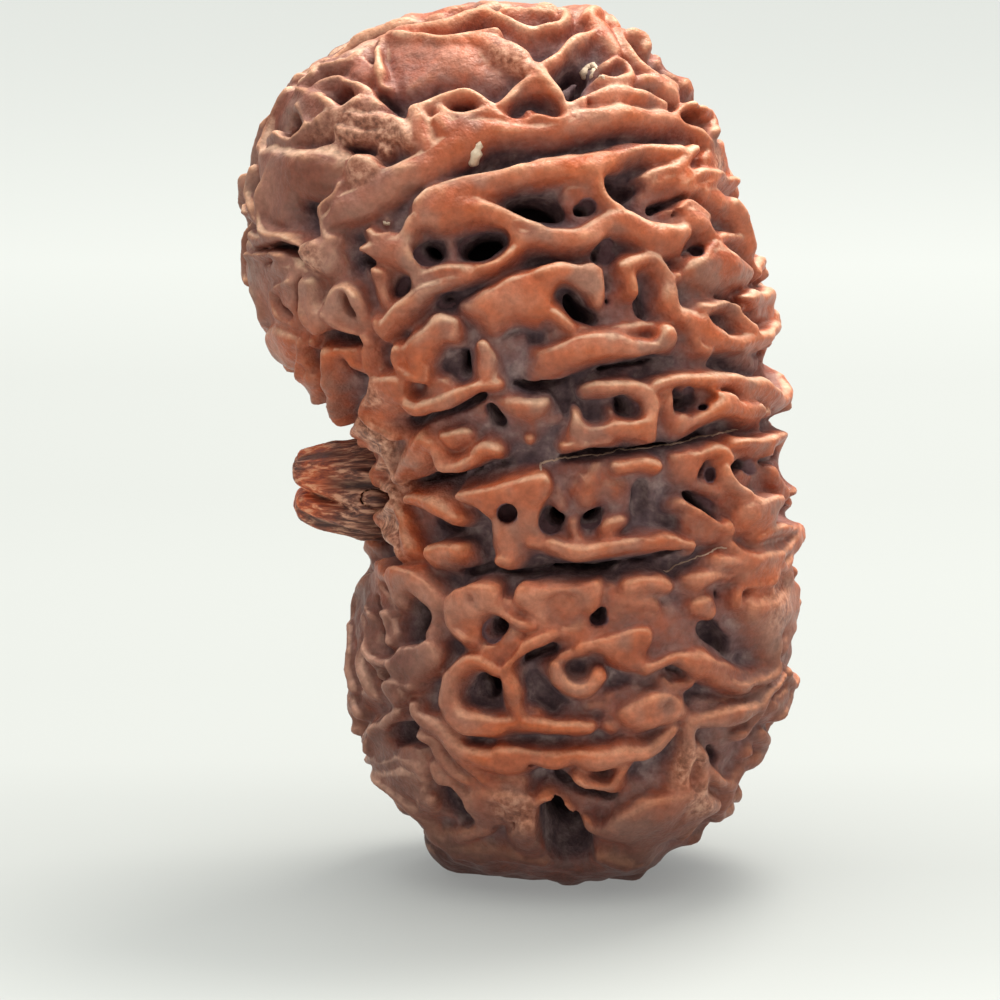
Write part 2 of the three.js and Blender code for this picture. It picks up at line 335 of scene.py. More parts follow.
filler(-.55, (600, 604), (660, 606), (700, 640), (704, 690), (640, 690), (600, 668), (562, 652), (560, 632))
filler(-.95, (538, 500), (560, 497), (600, 503), (640, 506), (642, 535), (600, 546), (560, 546), (540, 540))
filler(-.75, (440, 395), (500, 392), (548, 400), (560, 440), (520, 462), (470, 470), (440, 440))
filler(-.8, (556, 456), (640, 452), (670, 470), (660, 510), (600, 512), (556, 500))
filler(-.6, (690, 590), (745, 590), (760, 610), (745, 625), (700, 626))

# --- upper left lobe
ridge(-.1, (310, 74, 9), (322, 62, 9), (342, 60, 7), (355, 51, 8), (368, 40, 9), (385, 31, 8))
ridge(0, (300, 85, 4), (312, 77, 4), (321, 67, 4), (335, 64, 4), (346, 61, 4), (356, 53, 4), (364, 46, 4), (371, 40, 5))
plate(-.22, (338, 66), (360, 57), (370, 62), (378, 72), (374, 82), (360, 86), (345, 76))
ridge(0, (314, 86, 3.5), (322, 79, 3.5), (336, 74.5, 3.5), (346, 80, 3.5), (356, 86, 4), (366, 91, 4))
cut(-2.2, (330, 92, 10), (343, 93, 11))
ridge(.02, (298, 91, 4), (310, 94, 4.5), (320, 98, 4.5), (328, 106, 5.5), (336, 112, 5), (344, 109, 6), (353, 103, 7), (360, 97, 4), (369, 96, 4), (373, 103, 4))
ridge(-.05, (364, 104, 8))
ridge(0, (330, 116, 4), (350, 116, 7), (372, 117, 8), (390, 122, 9), (401, 131, 7), (408, 141, 3))
ridge(-.12, (338, 130, 5), (355, 134, 6), (375, 134, 6), (394, 133, 6))
plate(-.75, (330, 138), (360, 138), (392, 138), (396, 156), (372, 156), (345, 148))
ridge(-.45, (380, 152, 6), (388, 155, 6))
ridge(0, (308, 127, 4), (300, 134, 5), (292, 139, 4))
cut(-1.9, (293, 117, 8), (292, 124, 10), (285, 131, 8))
ridge(0, (299, 106, 2.8), (304, 117, 2.8), (307, 125, 3))
plate(-.22, (303, 98), (318, 98), (328, 110), (322, 122), (310, 124), (305, 112))
ridge(0, (318, 121, 3.5), (324, 117, 4), (331, 114, 3))
ridge(-.02, (289, 93, 9), (279, 105, 9), (270, 119, 9), (263, 134, 8), (258, 148, 8))
ridge(-.02, (267, 140, 7), (276, 137, 6), (288, 142, 5))
plate(-.2, (263, 150), (285, 149), (305, 152), (330, 149), (352, 156), (346, 168), (338, 185), (329, 196), (316, 201), (304, 199), (297, 206), (293, 222), (294, 241), (278, 239), (264, 230), (258, 212), (260, 190), (262, 168), r=.4)
ridge(.02, (274, 160, 3), (269, 172, 3.2), (265, 185, 3.5), (260, 197, 4), (257, 210, 4.5), (259, 222, 4.5), (264, 232, 4.5), (273, 238, 4.5), (286, 243, 4.5), (298, 248, 4.5))
cut(-1.7, (296, 204, 8), (306, 214, 13), (310, 228, 12), r=.3, k=.15)
ridge(0, (251, 170, 7), (247, 182, 8), (245, 196, 8), (248, 210, 6))
ridge(-.14, (243, 208, 4), (250, 216, 4), (258, 222, 4))
ridge(-.12, (249, 236, 8), (262, 238, 6), (276, 246, 4))
ridge(0, (246, 256, 3.5), (258, 253, 3.5), (270, 254, 3.5), (280, 259, 3.5))
cut(-.7, (256, 260, 2.5), (268, 261, 2.5))
plate(-.22, (244, 264), (262, 262), (280, 262), (292, 268), (288, 278), (272, 284), (255, 288), (246, 278))
cut(-1.1, (272, 246, 2.5), (290, 250, 3.5), (300, 258, 4))
ridge(-.05, (273, 291, 4), (283, 286, 3.5), (292, 283, 3))
ridge(-.02, (269, 297, 4.2), (273, 310, 4.2), (280, 321, 4.2), (291, 327, 4.2))
plate(-.55, (275, 296), (296, 292), (301, 310), (300, 322), (288, 322), (279, 312))
ridge(-.12, (255, 292, 9), (262, 312, 9), (266, 330, 9), (274, 348, 10))
plate(-.1, (264, 335), (280, 328), (296, 336), (298, 355), (299, 380), (290, 381), (275, 371), (266, 353), r=.3)
ridge(-.04, (268, 346, 4), (274, 360, 4), (283, 375, 4))
plate(.12, (345, 164), (354, 154), (368, 160), (380, 170), (372, 179), (360, 187), (349, 182), r=.18)

cut(-1.7, (298, 268, 4), (295, 282, 6), (295, 296, 7), (297, 312, 7), (301, 326, 5), r=.3, k=.15)
cut(-1.8, (318, 341, 5), (332, 344, 7), (346, 345, 7), (357, 345, 5), r=.3, k=.12)
cut(-1.4, (338, 363, 6), (343, 374, 8), (346, 388, 6), r=.3, k=.12)
cut(-1.3, (307, 352, 5), (310, 366, 5), r=.25, k=.12)
cut(-1.2, (343, 297, 6), (347, 306, 8), (351, 318, 5), r=.35, k=.15)
cut(-1.4, (252, 246, 3), (266, 248, 4.5), (284, 251, 5), (298, 257, 5), r=.25, k=.12)
cut(-1.0, (272, 300, 3.5), (279, 312, 5), (288, 319, 5), r=.3, k=.12)
ridge(.05, (324, 317, 2.6), (333, 326, 2.8), (345, 333, 3), (357, 340, 3), (365, 344, 3))
ridge(.06, (327, 354, 2.6), (326.5, 368, 2.8), (327, 384, 2.8), (329, 400, 2.8))
ridge(.04, (300, 344, 2.6), (299, 360, 2.6), (302, 378, 2.8))
# --- the long ridges of the upper part
ridge(0, (330, 222, 11), (345, 208, 18), (362, 200, 19), (382, 188, 18), (404, 176, 17), (430, 162, 17), (452, 149, 17), (470, 134, 17), (490, 127, 12), (520, 128, 11), (550, 129, 11), (580, 123, 11), (605, 115, 12), (635, 112, 12), (665, 114, 12), (690, 122, 10), (704, 134, 9), (714, 145, 6), wrap=1)
ridge(.06, (341, 181, 3.5), (334, 195, 3.8), (323, 203, 4), (319.5, 212, 4), (322, 225, 4), (327, 238, 4), (333, 240, 3))
ridge(0, (421, 206, 11), (438, 198, 13), (460, 190, 16), (480, 185, 17), (500, 179, 15), (520, 173, 13), (545, 167, 15), (570, 165, 15), (593, 165, 18), (615, 156, 14), (635, 148, 12), (660, 149, 10), (686, 148, 8))
cut(-.35, (573, 147, 3), (648, 137, 6))
ridge(0, (649, 178, 4), (661, 171, 7), (678, 166, 7), (690, 156, 6), (697, 148, 5))
ridge(-.1, (655, 185, 6), (674, 180, 8), (690, 170, 5))
ridge(0, (686, 184, 4), (698, 175, 5.5), (710, 172, 5.5), (722, 177, 5.5), (738, 183, 5), wrap=1)
ridge(-.02, (690, 190, 3), (706, 184.5, 4), (719, 181, 3.5))
plate(-.18, (702, 156), (714, 146), (728, 154), (736, 167), (739, 180), (722, 175), (708, 168))
ridge(-.04, (710, 195, 10), (724, 200, 15), (738, 210, 12), (746, 222, 8), wrap=1)
ridge(0, (688, 214, 9), (700, 222, 13), (712, 232, 9), (722, 240, 6))
ridge(.04, (680, 208, 3), (692, 203, 4.5), (703, 210, 4.5), (714, 219, 4))
cut(-1.3, (683, 214, 3.5))
ridge(0, (480, 205, 4), (492, 210, 5), (508, 216, 5), (522, 222, 6), (540, 229, 7))
ridge(0, (520, 236, 9), (540, 238, 12), (560, 240, 13), (580, 240, 13), (598, 234, 13), (612, 225, 13), (630, 224, 14), (645, 231, 14), (660, 238, 16), (676, 240, 15), (688, 232, 10))
ridge(-.22, (650, 248, 10), (668, 249, 9), (680, 247, 8))
ridge(0, (421, 215, 10), (436, 214, 18), (455, 211, 18), (475, 212, 16), (495, 219, 11), (510, 228, 9), (519, 236, 7))
ridge(.02, (416, 205, 3.5), (424, 197, 4), (436, 190, 4.5), (450, 188, 4))
ridge(0, (412, 218, 8), (405, 236, 9), (407, 252, 9), (413, 268, 9), (416, 281, 7))
ridge(-.7, (451, 244, 6), (452, 262, 7))
ridge(0, (524, 243, 4.5), (510, 253, 5), (494, 261, 5.5), (478, 268, 7))
ridge(-.1, (425, 277, 9), (445, 273, 9), (465, 271, 7))
cut(-3.4, (414, 246, 6), (424, 250, 11), (434, 254, 9), r=.15, k=.04)
cut(-3.5, (464, 252, 9), (480, 246, 16), (498, 240, 12), r=.15, k=.04)
ridge(0, (383, 328, 9), (395, 318, 11), (410, 306, 12), (425, 296, 12), (442, 288, 9), (460, 281, 7), (478, 272, 6), (495, 262, 5), (512, 252, 5))
ridge(.04, (376, 322, 3), (377, 330, 4), (382, 336, 4.5))
ridge(0, (371, 250, 10), (385, 251, 16), (398, 256, 17), (408, 268, 9))
ridge(.02, (362, 250, 4), (369, 262, 4), (379, 272, 4))
ridge(-.02, (368, 230, 2.6), (375, 235, 2.6), (390, 234, 2.8))
ridge(-.35, (382, 274, 5), (383, 290, 5), (388, 303, 5))
cut(-3.0, (404, 283, 5), (400, 292, 5.5))
cut(-1.9, (350, 263, 6), (362, 260, 9), (367, 271, 6))
plate(-.95, (350, 232), (370, 212), (395, 202), (412, 196), (412, 230), (388, 230), (368, 226))
ridge(-.6, (386, 222, 4))
plate(-.5, (333, 243), (346, 250), (350, 266), (348, 282), (335, 296), (322, 300), (318, 294), (330, 276))
plate(.14, (296, 254), (302, 243), (314, 238), (323, 243), (326, 256), (325, 268), (328, 280), (317, 275), (303, 267), r=.2)
ridge(0, (329, 240, 5), (331, 255, 7), (328, 270, 6))
cut(-.8, (323, 244, 2.8))
ridge(0, (308, 288, 9), (310, 304, 7.5), (314, 320, 7), (315, 334, 5))
ridge(.04, (301, 283, 3), (300, 296, 3), (304, 312, 3.2), (311, 328, 3.2))
ridge(0, (309, 343, 5))
plate(-.02, (324, 313), (327, 303), (335, 290), (346, 284), (356, 292), (361, 305), (363, 320), (366, 338), (355, 334), (340, 326), (328, 321), dish=.12)
plate(-.3, (325, 350), (342, 345), (357, 350), (357, 368), (349, 378), (335, 380), (328, 368))
ridge(0, (324, 350, 3.5), (325.5, 362, 3.5), (328, 380, 3.5), (328, 396, 3.5), (332, 412, 3.5), (338, 424, 3.5))
ridge(-.1, (341, 362, 2.8), (351, 366, 3), (361, 371, 3))
ridge(0, (361.5, 340, 3.8), (362, 358, 3.8), (365, 374, 4))
ridge(-.28, (369, 344, 7), (373, 362, 8), (378, 378, 8))
plate(-.28, (300, 342), (317, 340), (317, 362), (304, 362))
ridge(-.04, (299.5, 340, 4.2), (299.5, 360, 4.2), (301.5, 380, 4.2))
ridge(-.03, (304, 361, 4.0), (309, 370, 4.2), (312, 384, 4.2), (317, 398, 4.0))
plate(-.25, (305, 372), (320, 372), (324, 396), (330, 416), (322, 410), (310, 396))

# --- top
ridge(0, (388, 29, 8), (405, 28, 9), (420, 26, 8), (450, 17, 9), (480, 8, 8), (500, 12, 8))
ridge(.02, (380, 39, 3.5), (390, 34, 3.5), (402, 35, 4), (420, 35, 5), (440, 36, 5), (460, 34, 5), (478, 29, 5.5), (497, 28, 6))
plate(-.4, (386, 44), (402, 40), (440, 42), (470, 40), (495, 62), (512, 78), (500, 92), (480, 84), (455, 84), (440, 86), (425, 90), (405, 98), (390, 88), (386, 66), r=.3)
cut(-1.9, (430, 82, 6), (434, 76, 5), r=.3)
cut(-1.5, (405, 100, 6), (425, 90, 5))
cut(-1.7, (398, 112, 6), (393, 98, 9), (382, 92, 8), (374, 86, 5))
ridge(0, (381, 38, 3.5), (376, 52, 4), (377, 66, 4), (380, 78, 4))
cut(-1.3, (388, 50, 2.5), (384, 64, 3), (381, 78, 3.5))
cut(-.9, (480, 20.5, 3), (489, 18.5, 5), (497, 20, 3))
cut(-.35, (432, 28, 2.5), (450, 27, 2.5))
ridge(.06, (476, 34, 8), (495, 40, 13), (514, 52, 14), (530, 65, 12), (544, 79, 8), (557, 93, 6), (567, 106, 5))
ridge(0, (502, 101, 3), (511, 94, 5), (521, 83, 7), (535, 79, 6.5), (548, 83, 6.5), (558, 93, 6))
cut(-.95, (512, 106, 4), (522, 100, 8), (536, 96, 9), (550, 102, 9), (558, 108, 5), r=.3)
ridge(-.2, (531, 86, 3), (528, 110, 3))
ridge(-.2, (549, 88, 3.2), (548, 112, 3.2))
ridge(.02, (470, 112, 5), (490, 109, 8), (507, 114, 4), (525, 116, 3.5), (540, 114, 3.5), (556, 118, 4), (572, 112, 5), (590, 112, 4), (604, 108, 5))
ridge(0, (414, 106, 7), (427, 100, 6), (440, 94, 5.5), (455, 90, 5.5), (475, 90, 5.5), (486, 97, 7), (492, 106, 9), (478, 111, 6), (462, 114, 5), (450, 112, 5), (441, 104, 6))
ridge(0, (417, 114, 9), (419, 130, 11), (426, 145, 7))
ridge(0, (440, 122, 12), (450, 132, 14), (462, 125, 12))
cut(-1.3, (455, 101, 5.5), (466, 101, 6.5))
cut(-2.2, (557, 70, 7), (568, 58, 8), (582, 50, 9), (594, 55, 8), (586, 70, 9), (578, 85, 9), (570, 92, 7))
ridge(0, (545, 59, 3), (560, 47, 3), (575, 35, 3.5), (588, 27, 5), (600, 22, 6))
cut(-.8, (533, 37, 7), (548, 36, 9), (562, 30, 7), (576, 21, 5), (586, 13, 4))
ridge(0, (498, 12, 5), (512, 19, 4.5), (527, 25, 4.5), (543, 24, 4.5), (556, 22, 5), (567, 16, 6.5), (566, 7, 5))
cut(-.9, (523, 15, 4), (540, 15, 4.5), (553, 16, 3))
ridge(-.08, (503, 6, 5), (530, 5, 5), (552, 6, 5))
ridge(-.03, (588, 14, 9), (604, 22, 13), (614, 34, 12), (620, 44, 8))
ridge(0, (622, 26, 9), (634, 44, 8), (648, 62, 6.5), (662, 75, 6.5), (677, 85, 6))
ridge(-.2, (643, 38, 10), (651, 54, 9))
ridge(-.08, (668, 76, 8), (680, 86, 8))
ridge(0, (611, 57, 3), (621, 51, 3.5), (630, 56, 4), (634, 66, 5), (628, 76, 5.5), (615, 81, 4.5), (606, 75, 3.5))
cut(-1.3, (616, 65, 6), (612, 72, 5))
ridge(0, (572, 103, 7), (586, 97, 8), (602, 92, 9), (618, 92, 9), (636, 92, 8), (655, 95, 7), (669, 101, 6))
cut(-.5, (590, 98, 4))
ridge(.02, (679, 110, 5), (690, 103, 4.5), (703, 106, 5), (714, 114, 6), (717, 126, 7), wrap=1)
cut(-1.2, (689, 114, 5), (700, 115, 6.5))
ridge(0, (688, 124, 4), (702, 129, 5))
plate(-.5, (566, 188), (602, 188), (607, 205), (600, 219), (580, 224), (566, 216))
cut(-3.4, (583, 207, 8.5), (590, 206, 8.5), r=.15, k=.04)
ridge(-.12, (601, 172, 5.5), (603, 188, 5.5), (610, 203, 5.5), (620, 210, 5))
plate(-.7, (640, 196), (656, 192), (662, 205), (655, 218), (642, 212))
ridge(-.45, (672, 193, 3.5))
cut(-2.8, (516, 200, 12), (532, 199, 15), (550, 203, 14), (562, 210, 9), r=.15, k=.05)
cut(-2.1, (620, 180, 12), (632, 190, 13), (648, 186, 7))
cut(-1.9, (665, 206, 7), (680, 200, 6), (692, 194, 5))
cut(-3.4, (610, 243, 7), (607, 252, 9), (604, 260, 7), r=.15, k=.04)
cut(-1.8, (613, 266, 6), (612, 285, 6), (614, 300, 6))

# --- between the upper middle lines
plate(0, (459, 311), (470, 301), (485, 291), (500, 283), (520, 275), (540, 267.5), (560, 264), (580, 264), (600, 259), (609, 262), (605, 275), (606, 292), (602, 309), (596, 306), (597, 296), (586, 287), (572, 282), (560, 284), (554, 292), (555, 305), (560, 317), (570, 327), (562, 326), (552, 321), (540, 327), (525, 326), (512, 324), (500, 331), (490, 338), (478, 332), (472, 322), r=.18)
ridge(0, (557, 312, 3.2), (564, 320, 3.2), (573, 328, 3.5))
ridge(0, (627, 268, 8), (640, 260, 8.5), (655, 260, 9), (667, 270, 9), (672, 285, 9.5), (673, 301, 10), (680, 316, 10), (690, 322, 8))
ridge(-.05, (628, 268, 6), (632, 280, 5), (636, 293, 4))
cut(-1.7, (647, 284, 8), (649, 300, 10), (650, 314, 10))
plate(-.95, (602, 296), (630, 298), (655, 318), (640, 334), (600, 330), (590, 322))
cut(-2.7, (576, 298, 11), (581, 310, 13), (596, 318, 9), r=.2)
plate(0, (530, 384), (530, 366), (534, 352), (556, 346), (575, 335), (590, 333), (605, 334), (620, 337), (634, 343), (654, 345), (660, 332), (668, 327), (677, 334), (679, 344), (668, 351), (652, 356), (630, 360), (608, 361), (594, 365), (578, 372), (560, 380), (545, 384), r=.18)
ridge(.04, (596, 336, 3), (608, 336, 3.2), (621, 338, 3.2), (634, 343, 3.2), (655, 345, 3.2))
ridge(.05, (664, 330, 5), (672, 334, 6), (673, 341, 5))
ridge(-.4, (570, 330, 4), (590, 331, 4), (620, 330, 5), (650, 328, 6))
plate(-.85, (476, 340), (500, 338), (528, 336), (526, 380), (508, 382), (500, 352), (480, 350))
ridge(-.55, (566, 333, 4), (552, 336, 4))
ridge(0, (441, 328, 9), (432, 340, 14), (420, 352, 17), (414, 364, 14), (420, 374, 9))
ridge(.03, (397, 348, 4), (395, 360, 4), (402, 372, 4), (414, 379, 4), (426, 382, 4))
ridge(-.12, (452, 326, 5), (452, 342, 5))
cut(-3.0, (461, 359, 9), (463, 374, 10), r=.2)
ridge(-.08, (482, 348, 6), (487, 362, 9), (487, 376, 9), (492, 386, 7))
cut(-2.4, (440, 302, 7), (452, 300, 5))
ridge(0, (404, 404, 6), (412, 411, 8), (428, 409, 9), (445, 403, 9), (460, 395, 8), (476, 389, 6), (498, 386, 5))
plate(-.35, (426, 384), (446, 378), (462, 390), (440, 400), (424, 402))
cut(-1.6, (412, 388, 6), (420, 392, 5))

# --- right, above the first middle line
plate(0, (686, 263), (700, 251), (715, 245), (730, 248), (745, 256), (757, 265), (761, 275), (755, 284), (740, 290), (720, 291), (708, 286), (697, 281), (689, 273), r=.34)
ridge(.04, (700, 252, 3.5), (714, 246, 3.8), (728, 247, 3.8))
cut(-1.5, (691, 254, 3), (700, 247, 3.5), (711, 243, 2.5))
ridge(0, (722, 240, 5), (736, 236, 4.5), (748, 241, 5), (757, 254, 6), (763, 268, 7), wrap=1)
ridge(.02, (681, 273, 4.5))
ridge(-.4, (683, 262, 5), (690, 268, 5))
ridge(0, (748, 300, 7), (762, 295, 9), (775, 298, 11), wrap=1)
ridge(-.3, (760, 312, 9), (772, 314, 9), wrap=1)
ridge(0, (703, 306, 3), (715, 307.5, 3), (726, 305, 3), (738, 305, 4), (742, 313, 5), (749, 321, 6), (757, 328, 5))
plate(-.8, (684, 285), (700, 284), (716, 288), (716, 302), (700, 304), (684, 302))
cut(-1.3, (722, 314, 4), (733, 316, 5))
cut(-1.6, (742, 297, 4), (725, 297, 4.5), (755, 303, 3.5))
ridge(0, (688, 318, 11), (702, 328, 13), (716, 336, 12), (735, 341, 10), (755, 341, 9), (772, 335, 8), (783, 328, 7), wrap=1)
ridge(.03, (706, 318, 4), (716, 326, 4), (727, 333, 4))
ridge(-.02, (700, 340, 4), (706, 348, 4), (716, 350, 3))
ridge(-.75, (735, 358, 6), (748, 361, 7), (760, 362, 7))
ridge(-.9, (625, 371, 7), (640, 366, 5))
ridge(0, (659, 388, 6), (674, 381, 7), (692, 378, 7), (712, 378, 7), (735, 379, 8), (756, 383, 9), (772, 390, 11), (786, 402, 10), wrap=1)
plate(-.08, (690, 388), (712, 380), (740, 381), (776, 388), (780, 404), (764, 404), (748, 396), (735, 390), (716, 386))
cut(-1.7, (718, 389.5, 2.2), (735, 392, 2.5), (750, 399, 2.5), (765, 400, 2.5))
plate(.02, (700, 417), (714, 407), (722, 399), (716, 391), (731, 394), (744, 401), (760, 402), (768, 411), (766, 422), (750, 421), (735, 419), (715, 424), (700, 430), (686, 434), (679, 424), (684, 414), (694, 418), r=.16)
ridge(.05, (748, 403, 3), (758, 405, 3.5), (764, 411, 3))
ridge(-.2, (768, 418, 8), (774, 414, 8))
cut(-3.0, (686, 393, 8), (694, 403, 10), (706, 402, 7), r=.18)
ridge(-.25, (668, 395, 5), (669, 410, 6), (676, 424, 6))

# --- between the two middle lines
ridge(-.12, (588, 392, 6), (606, 387, 7), (624, 386, 7), (640, 390, 7), (650, 400, 7), (650, 414, 6))
plate(0, (566, 441), (572, 424), (576, 411), (583, 420), (592, 427), (606, 426), (618, 421), (636, 420), (650, 418), (655, 424), (653, 440), (630, 441), (612, 441), (590, 444), (575, 446), r=.18)
ridge(.03, (650, 394, 4), (655, 402, 4), (653, 416, 4), (653, 436, 4))
cut(-2.9, (629, 402, 8), (630, 410, 9), r=.18)
ridge(-.4, (612, 409, 3.5), (614, 416, 3))
plate(-1.0, (582, 396), (610, 396), (608, 420), (590, 420), (580, 410))
plate(-.3, (499, 405), (515, 400), (545, 398), (546, 412), (541, 426), (541, 452), (528, 456), (522, 448), (522, 430), (502, 418), r=.5, k=.4)
ridge(-.16, (504, 406, 5), (518, 404, 7), (535, 408, 9), k=.4)
ridge(-.05, (528, 441, 5))
ridge(-.05, (562, 446, 5), (580, 446, 5), (600, 444.5, 4), (612, 442, 3))
ridge(-.5, (560, 420, 5), (548, 422, 6))
cut(-2.2, (488, 416, 9), (494, 432, 9))
ridge(-.75, (408, 434, 5), (425, 428, 5), (445, 419, 5), (468, 409, 5), (490, 402, 4))
ridge(0, (436, 455, 6), (441, 466, 6), (455, 468, 6.5), (468, 463, 6.5), (480, 455, 9), (490, 455, 9))
ridge(-.16, (452, 445, 12), (462, 440, 9), (444, 440, 6))
cut(-.3, (455, 457, 4), (463, 455, 4))
ridge(-.06, (412, 462, 13), (422, 452, 8), (430, 446, 6))
ridge(.03, (420, 441, 4), (411, 450, 4), (403, 466, 4), (397, 481, 4))

# --- around the stalk
ridge(0, (371, 385, 5), (369, 398, 5.5), (362, 410, 5), (362, 417, 4.5), (371, 425, 4), (385, 434, 4), (392, 439, 3))
plate(-.12, (372, 384), (384, 376), (402, 376), (403, 396), (396, 420), (384, 430), (372, 422), (366, 412), r=.18)
ridge(0, (356, 426, 4), (354.5, 437, 5), (359, 446, 5), (372, 451, 5), (384, 453, 4.5))
plate(-.14, (358, 430), (368, 426), (384, 438), (388, 450), (368, 449), (358, 444))
ridge(0, (384, 454, 4), (389, 463, 4.5), (394, 473, 4.5), (397, 481, 4))
ridge(0, (383, 462, 4), (375, 471, 4.5), (369, 479, 4.5), (377, 486, 4.5), (386, 492, 5), (390, 498, 5))
plate(-.35, (378, 470), (388, 466), (394, 478), (390, 488), (378, 482))
ridge(-.5, (398, 488, 7), (412, 484, 5))
ridge(0, (406, 499, 5.5), (416, 501, 8), (430, 504, 9.5), (444, 510, 8), (455, 518, 6))
ridge(-.4, (440, 496, 5), (452, 504, 6))
ridge(0, (390, 507, 5), (380, 511, 5), (376, 519, 5), (379, 529, 5), (388, 536, 5), (396, 543, 4.5))
ridge(-.05, (396, 511, 6), (402, 520, 6), (404, 532, 8), (408, 544, 9), (411, 551, 7))
plate(-.3, (384, 514), (400, 512), (404, 530), (400, 545), (386, 536), (380, 524))
cut(-.8, (386, 519, 3), (392, 518, 2.5))
ridge(.04, (399, 549, 4), (402, 554, 4))
ridge(0, (430, 556, 9), (442, 555, 11.5), (455, 555, 10.5))
cut(-2.0, (420, 527, 8), (434, 532, 8))

# --- between the second middle line and the third
plate(0, (456, 495), (463, 492), (480, 487), (500, 481), (520, 477), (545, 474), (548, 490), (546, 504), (541, 514), (540, 526), (545, 538), (540, 545), (524, 546), (518, 560), (506, 567), (496, 562), (490, 548), (488, 530), (486, 519), (480, 512), (468, 505), r=.18)
ridge(.03, (460, 495, 4), (475, 493, 4), (500, 487, 4), (522, 484, 4), (542, 482, 4))
ridge(.03, (500, 560, 6), (506, 562, 6))
cut(-3.4, (506, 514, 8.5), (509, 512, 8.5), r=.15, k=.04)
cut(-3.5, (549, 522, 11), (554, 526, 12), r=.15, k=.04)
cut(-3.4, (585, 526, 7.5), (592, 522, 8.5), (602, 516, 6), r=.15, k=.04)
ridge(-.5, (552, 488, 9), (556, 500, 9), (562, 508, 6))
ridge(-.38, (598, 466, 5), (592, 480, 9), (588, 492, 11), (586, 502, 12), k=.4)
ridge(-.6, (580, 476, 9), (574, 490, 9), k=.4)
plate(-.6, (600, 474), (625, 476), (636, 500), (640, 520), (610, 512), (580, 505), (582, 496), r=.5, k=.4)
ridge(0, (622, 468, 8), (642, 467, 10.5), (658, 470, 9.5))
ridge(-.4, (573, 522, 3), (573, 530, 3.5), (577, 540, 4))
cut(-1.6, (648, 498, 15), (646, 512, 15), r=.5)
ridge(-.3, (610, 530, 12), (620, 524, 8))
ridge(0, (549, 547, 8), (575, 553, 9.5), (605, 552, 10), (635, 549, 10), (660, 547, 10), (680, 547, 7.5), (694, 547, 4))
ridge(.04, (640, 541, 4), (662, 540, 4), (680, 543, 4), (695, 547, 4))
ridge(.02, (606, 546, 4), (616, 546, 4))
ridge(-.1, (526, 544, 4), (540, 545, 4))
ridge(0, (699, 456, 5), (712, 452, 6), (726, 452, 6.5), (735, 459, 5))
plate(-.3, (672, 450), (692, 446), (706, 462), (702, 480), (726, 484), (740, 500), (750, 506), (735, 520), (712, 508), (690, 494), (670, 480), r=.3)
cut(-3.2, (709, 474, 7.5), (717, 467, 7), r=.15, k=.04)
ridge(.02, (729, 466, 4.5), (733, 479, 6), (741, 489, 7), (752, 497, 7), (763, 503, 7))
ridge(-.04, (736, 443, 5), (755, 444, 8), (772, 441, 8), (786, 439.5, 5), wrap=1)
ridge(-.1, (770, 448, 7), (776, 462, 7), (779, 474, 9), (786, 486, 12), (791, 496, 11))
cut(-3.2, (747, 470, 8), (755, 464, 9), (763, 466, 8), r=.18, k=.05)
plate(.02, (742, 506), (760, 500), (775, 494), (790, 500), (784, 513), (785, 521), (776, 529), (760, 536), (743, 538), (741, 524), r=.18)
cut(-3.2, (695, 499, 7), (705, 502, 8), (716, 510, 7), (728, 522, 4.5), r=.15, k=.04)
ridge(0, (684, 505, 4), (699, 511, 6), (714, 517, 7), (727, 526, 7), (737, 535, 5))
plate(-.3, (684, 516), (700, 516), (738, 538), (725, 546), (702, 545), (688, 530))
ridge(-.35, (690, 526, 5), (692, 520, 4))
ridge(0, (762, 537, 5), (776, 532, 6), (790, 529, 7), (802, 528, 6), wrap=1)
ridge(0, (737, 548, 3.5), (746, 556, 4), (765, 559.5, 4.5), (786, 556, 5), (800, 546, 6), wrap=1)
plate(-.4, (745, 546), (765, 540), (790, 538), (798, 545), (784, 553), (760, 556))
cut(-.9, (755, 548, 3), (775, 551, 3))

# --- under the third line: right
ridge(0, (719, 563, 4), (740, 565, 4), (760, 563.5, 4.5), (778, 562, 5), (792, 570, 7), wrap=1)
plate(0, (688, 580), (702, 574), (718, 573), (735, 577), (741, 581), (726, 587), (713, 593), (706, 600), (697, 598), (690, 590), r=.28)
cut(-1.6, (716, 596, 4), (726, 593, 5), (729, 602, 5))
ridge(0, (701, 611, 10), (711, 612, 13), (714, 614, 12))
cut(-.25, (717, 607, 3.5))
ridge(0, (736, 582, 4), (746, 573, 5), (757, 566, 4.5))
plate(0, (744, 578), (756, 569), (775, 565), (783, 570), (780, 580), (770, 586), (755, 587), (746, 588), r=.2, dish=.1)
ridge(.02, (741, 604, 5), (743, 594, 4), (750, 588, 3.5), (762, 587, 3.5), (774, 584, 3.5), (782, 574, 3.5))
ridge(-.3, (744, 606, 8), (753, 618, 9), (760, 632, 9), (766, 646, 9), (772, 660, 9), k=.5)
cut(-2.2, (750, 594, 5), (758, 593, 5))
plate(-.12, (748, 604), (768, 597), (785, 590), (800, 584), (806, 600), (799, 622), (797, 640), (790, 652), (780, 664), (766, 660), (758, 642), (750, 622), r=.6, k=.4)
ridge(-.06, (794, 578, 9), (802, 596, 9), (797, 616, 10), (794, 636, 9), wrap=1)
ridge(-.08, (790, 648, 10), (794, 640, 8), r=.5, k=.4)
ridge(.02, (782, 640, 3), (780, 655, 3), (781, 667, 3.5), (776, 676, 4))
cut(-1.8, (714, 634, 11), (728, 641, 14), (741, 651, 13), (746, 663, 8), r=.35, k=.12)
ridge(0, (700, 662, 7), (711, 674, 9), (726, 685, 9), (744, 691, 8), (758, 687, 6.5), (772, 680, 5), (780, 668, 4))
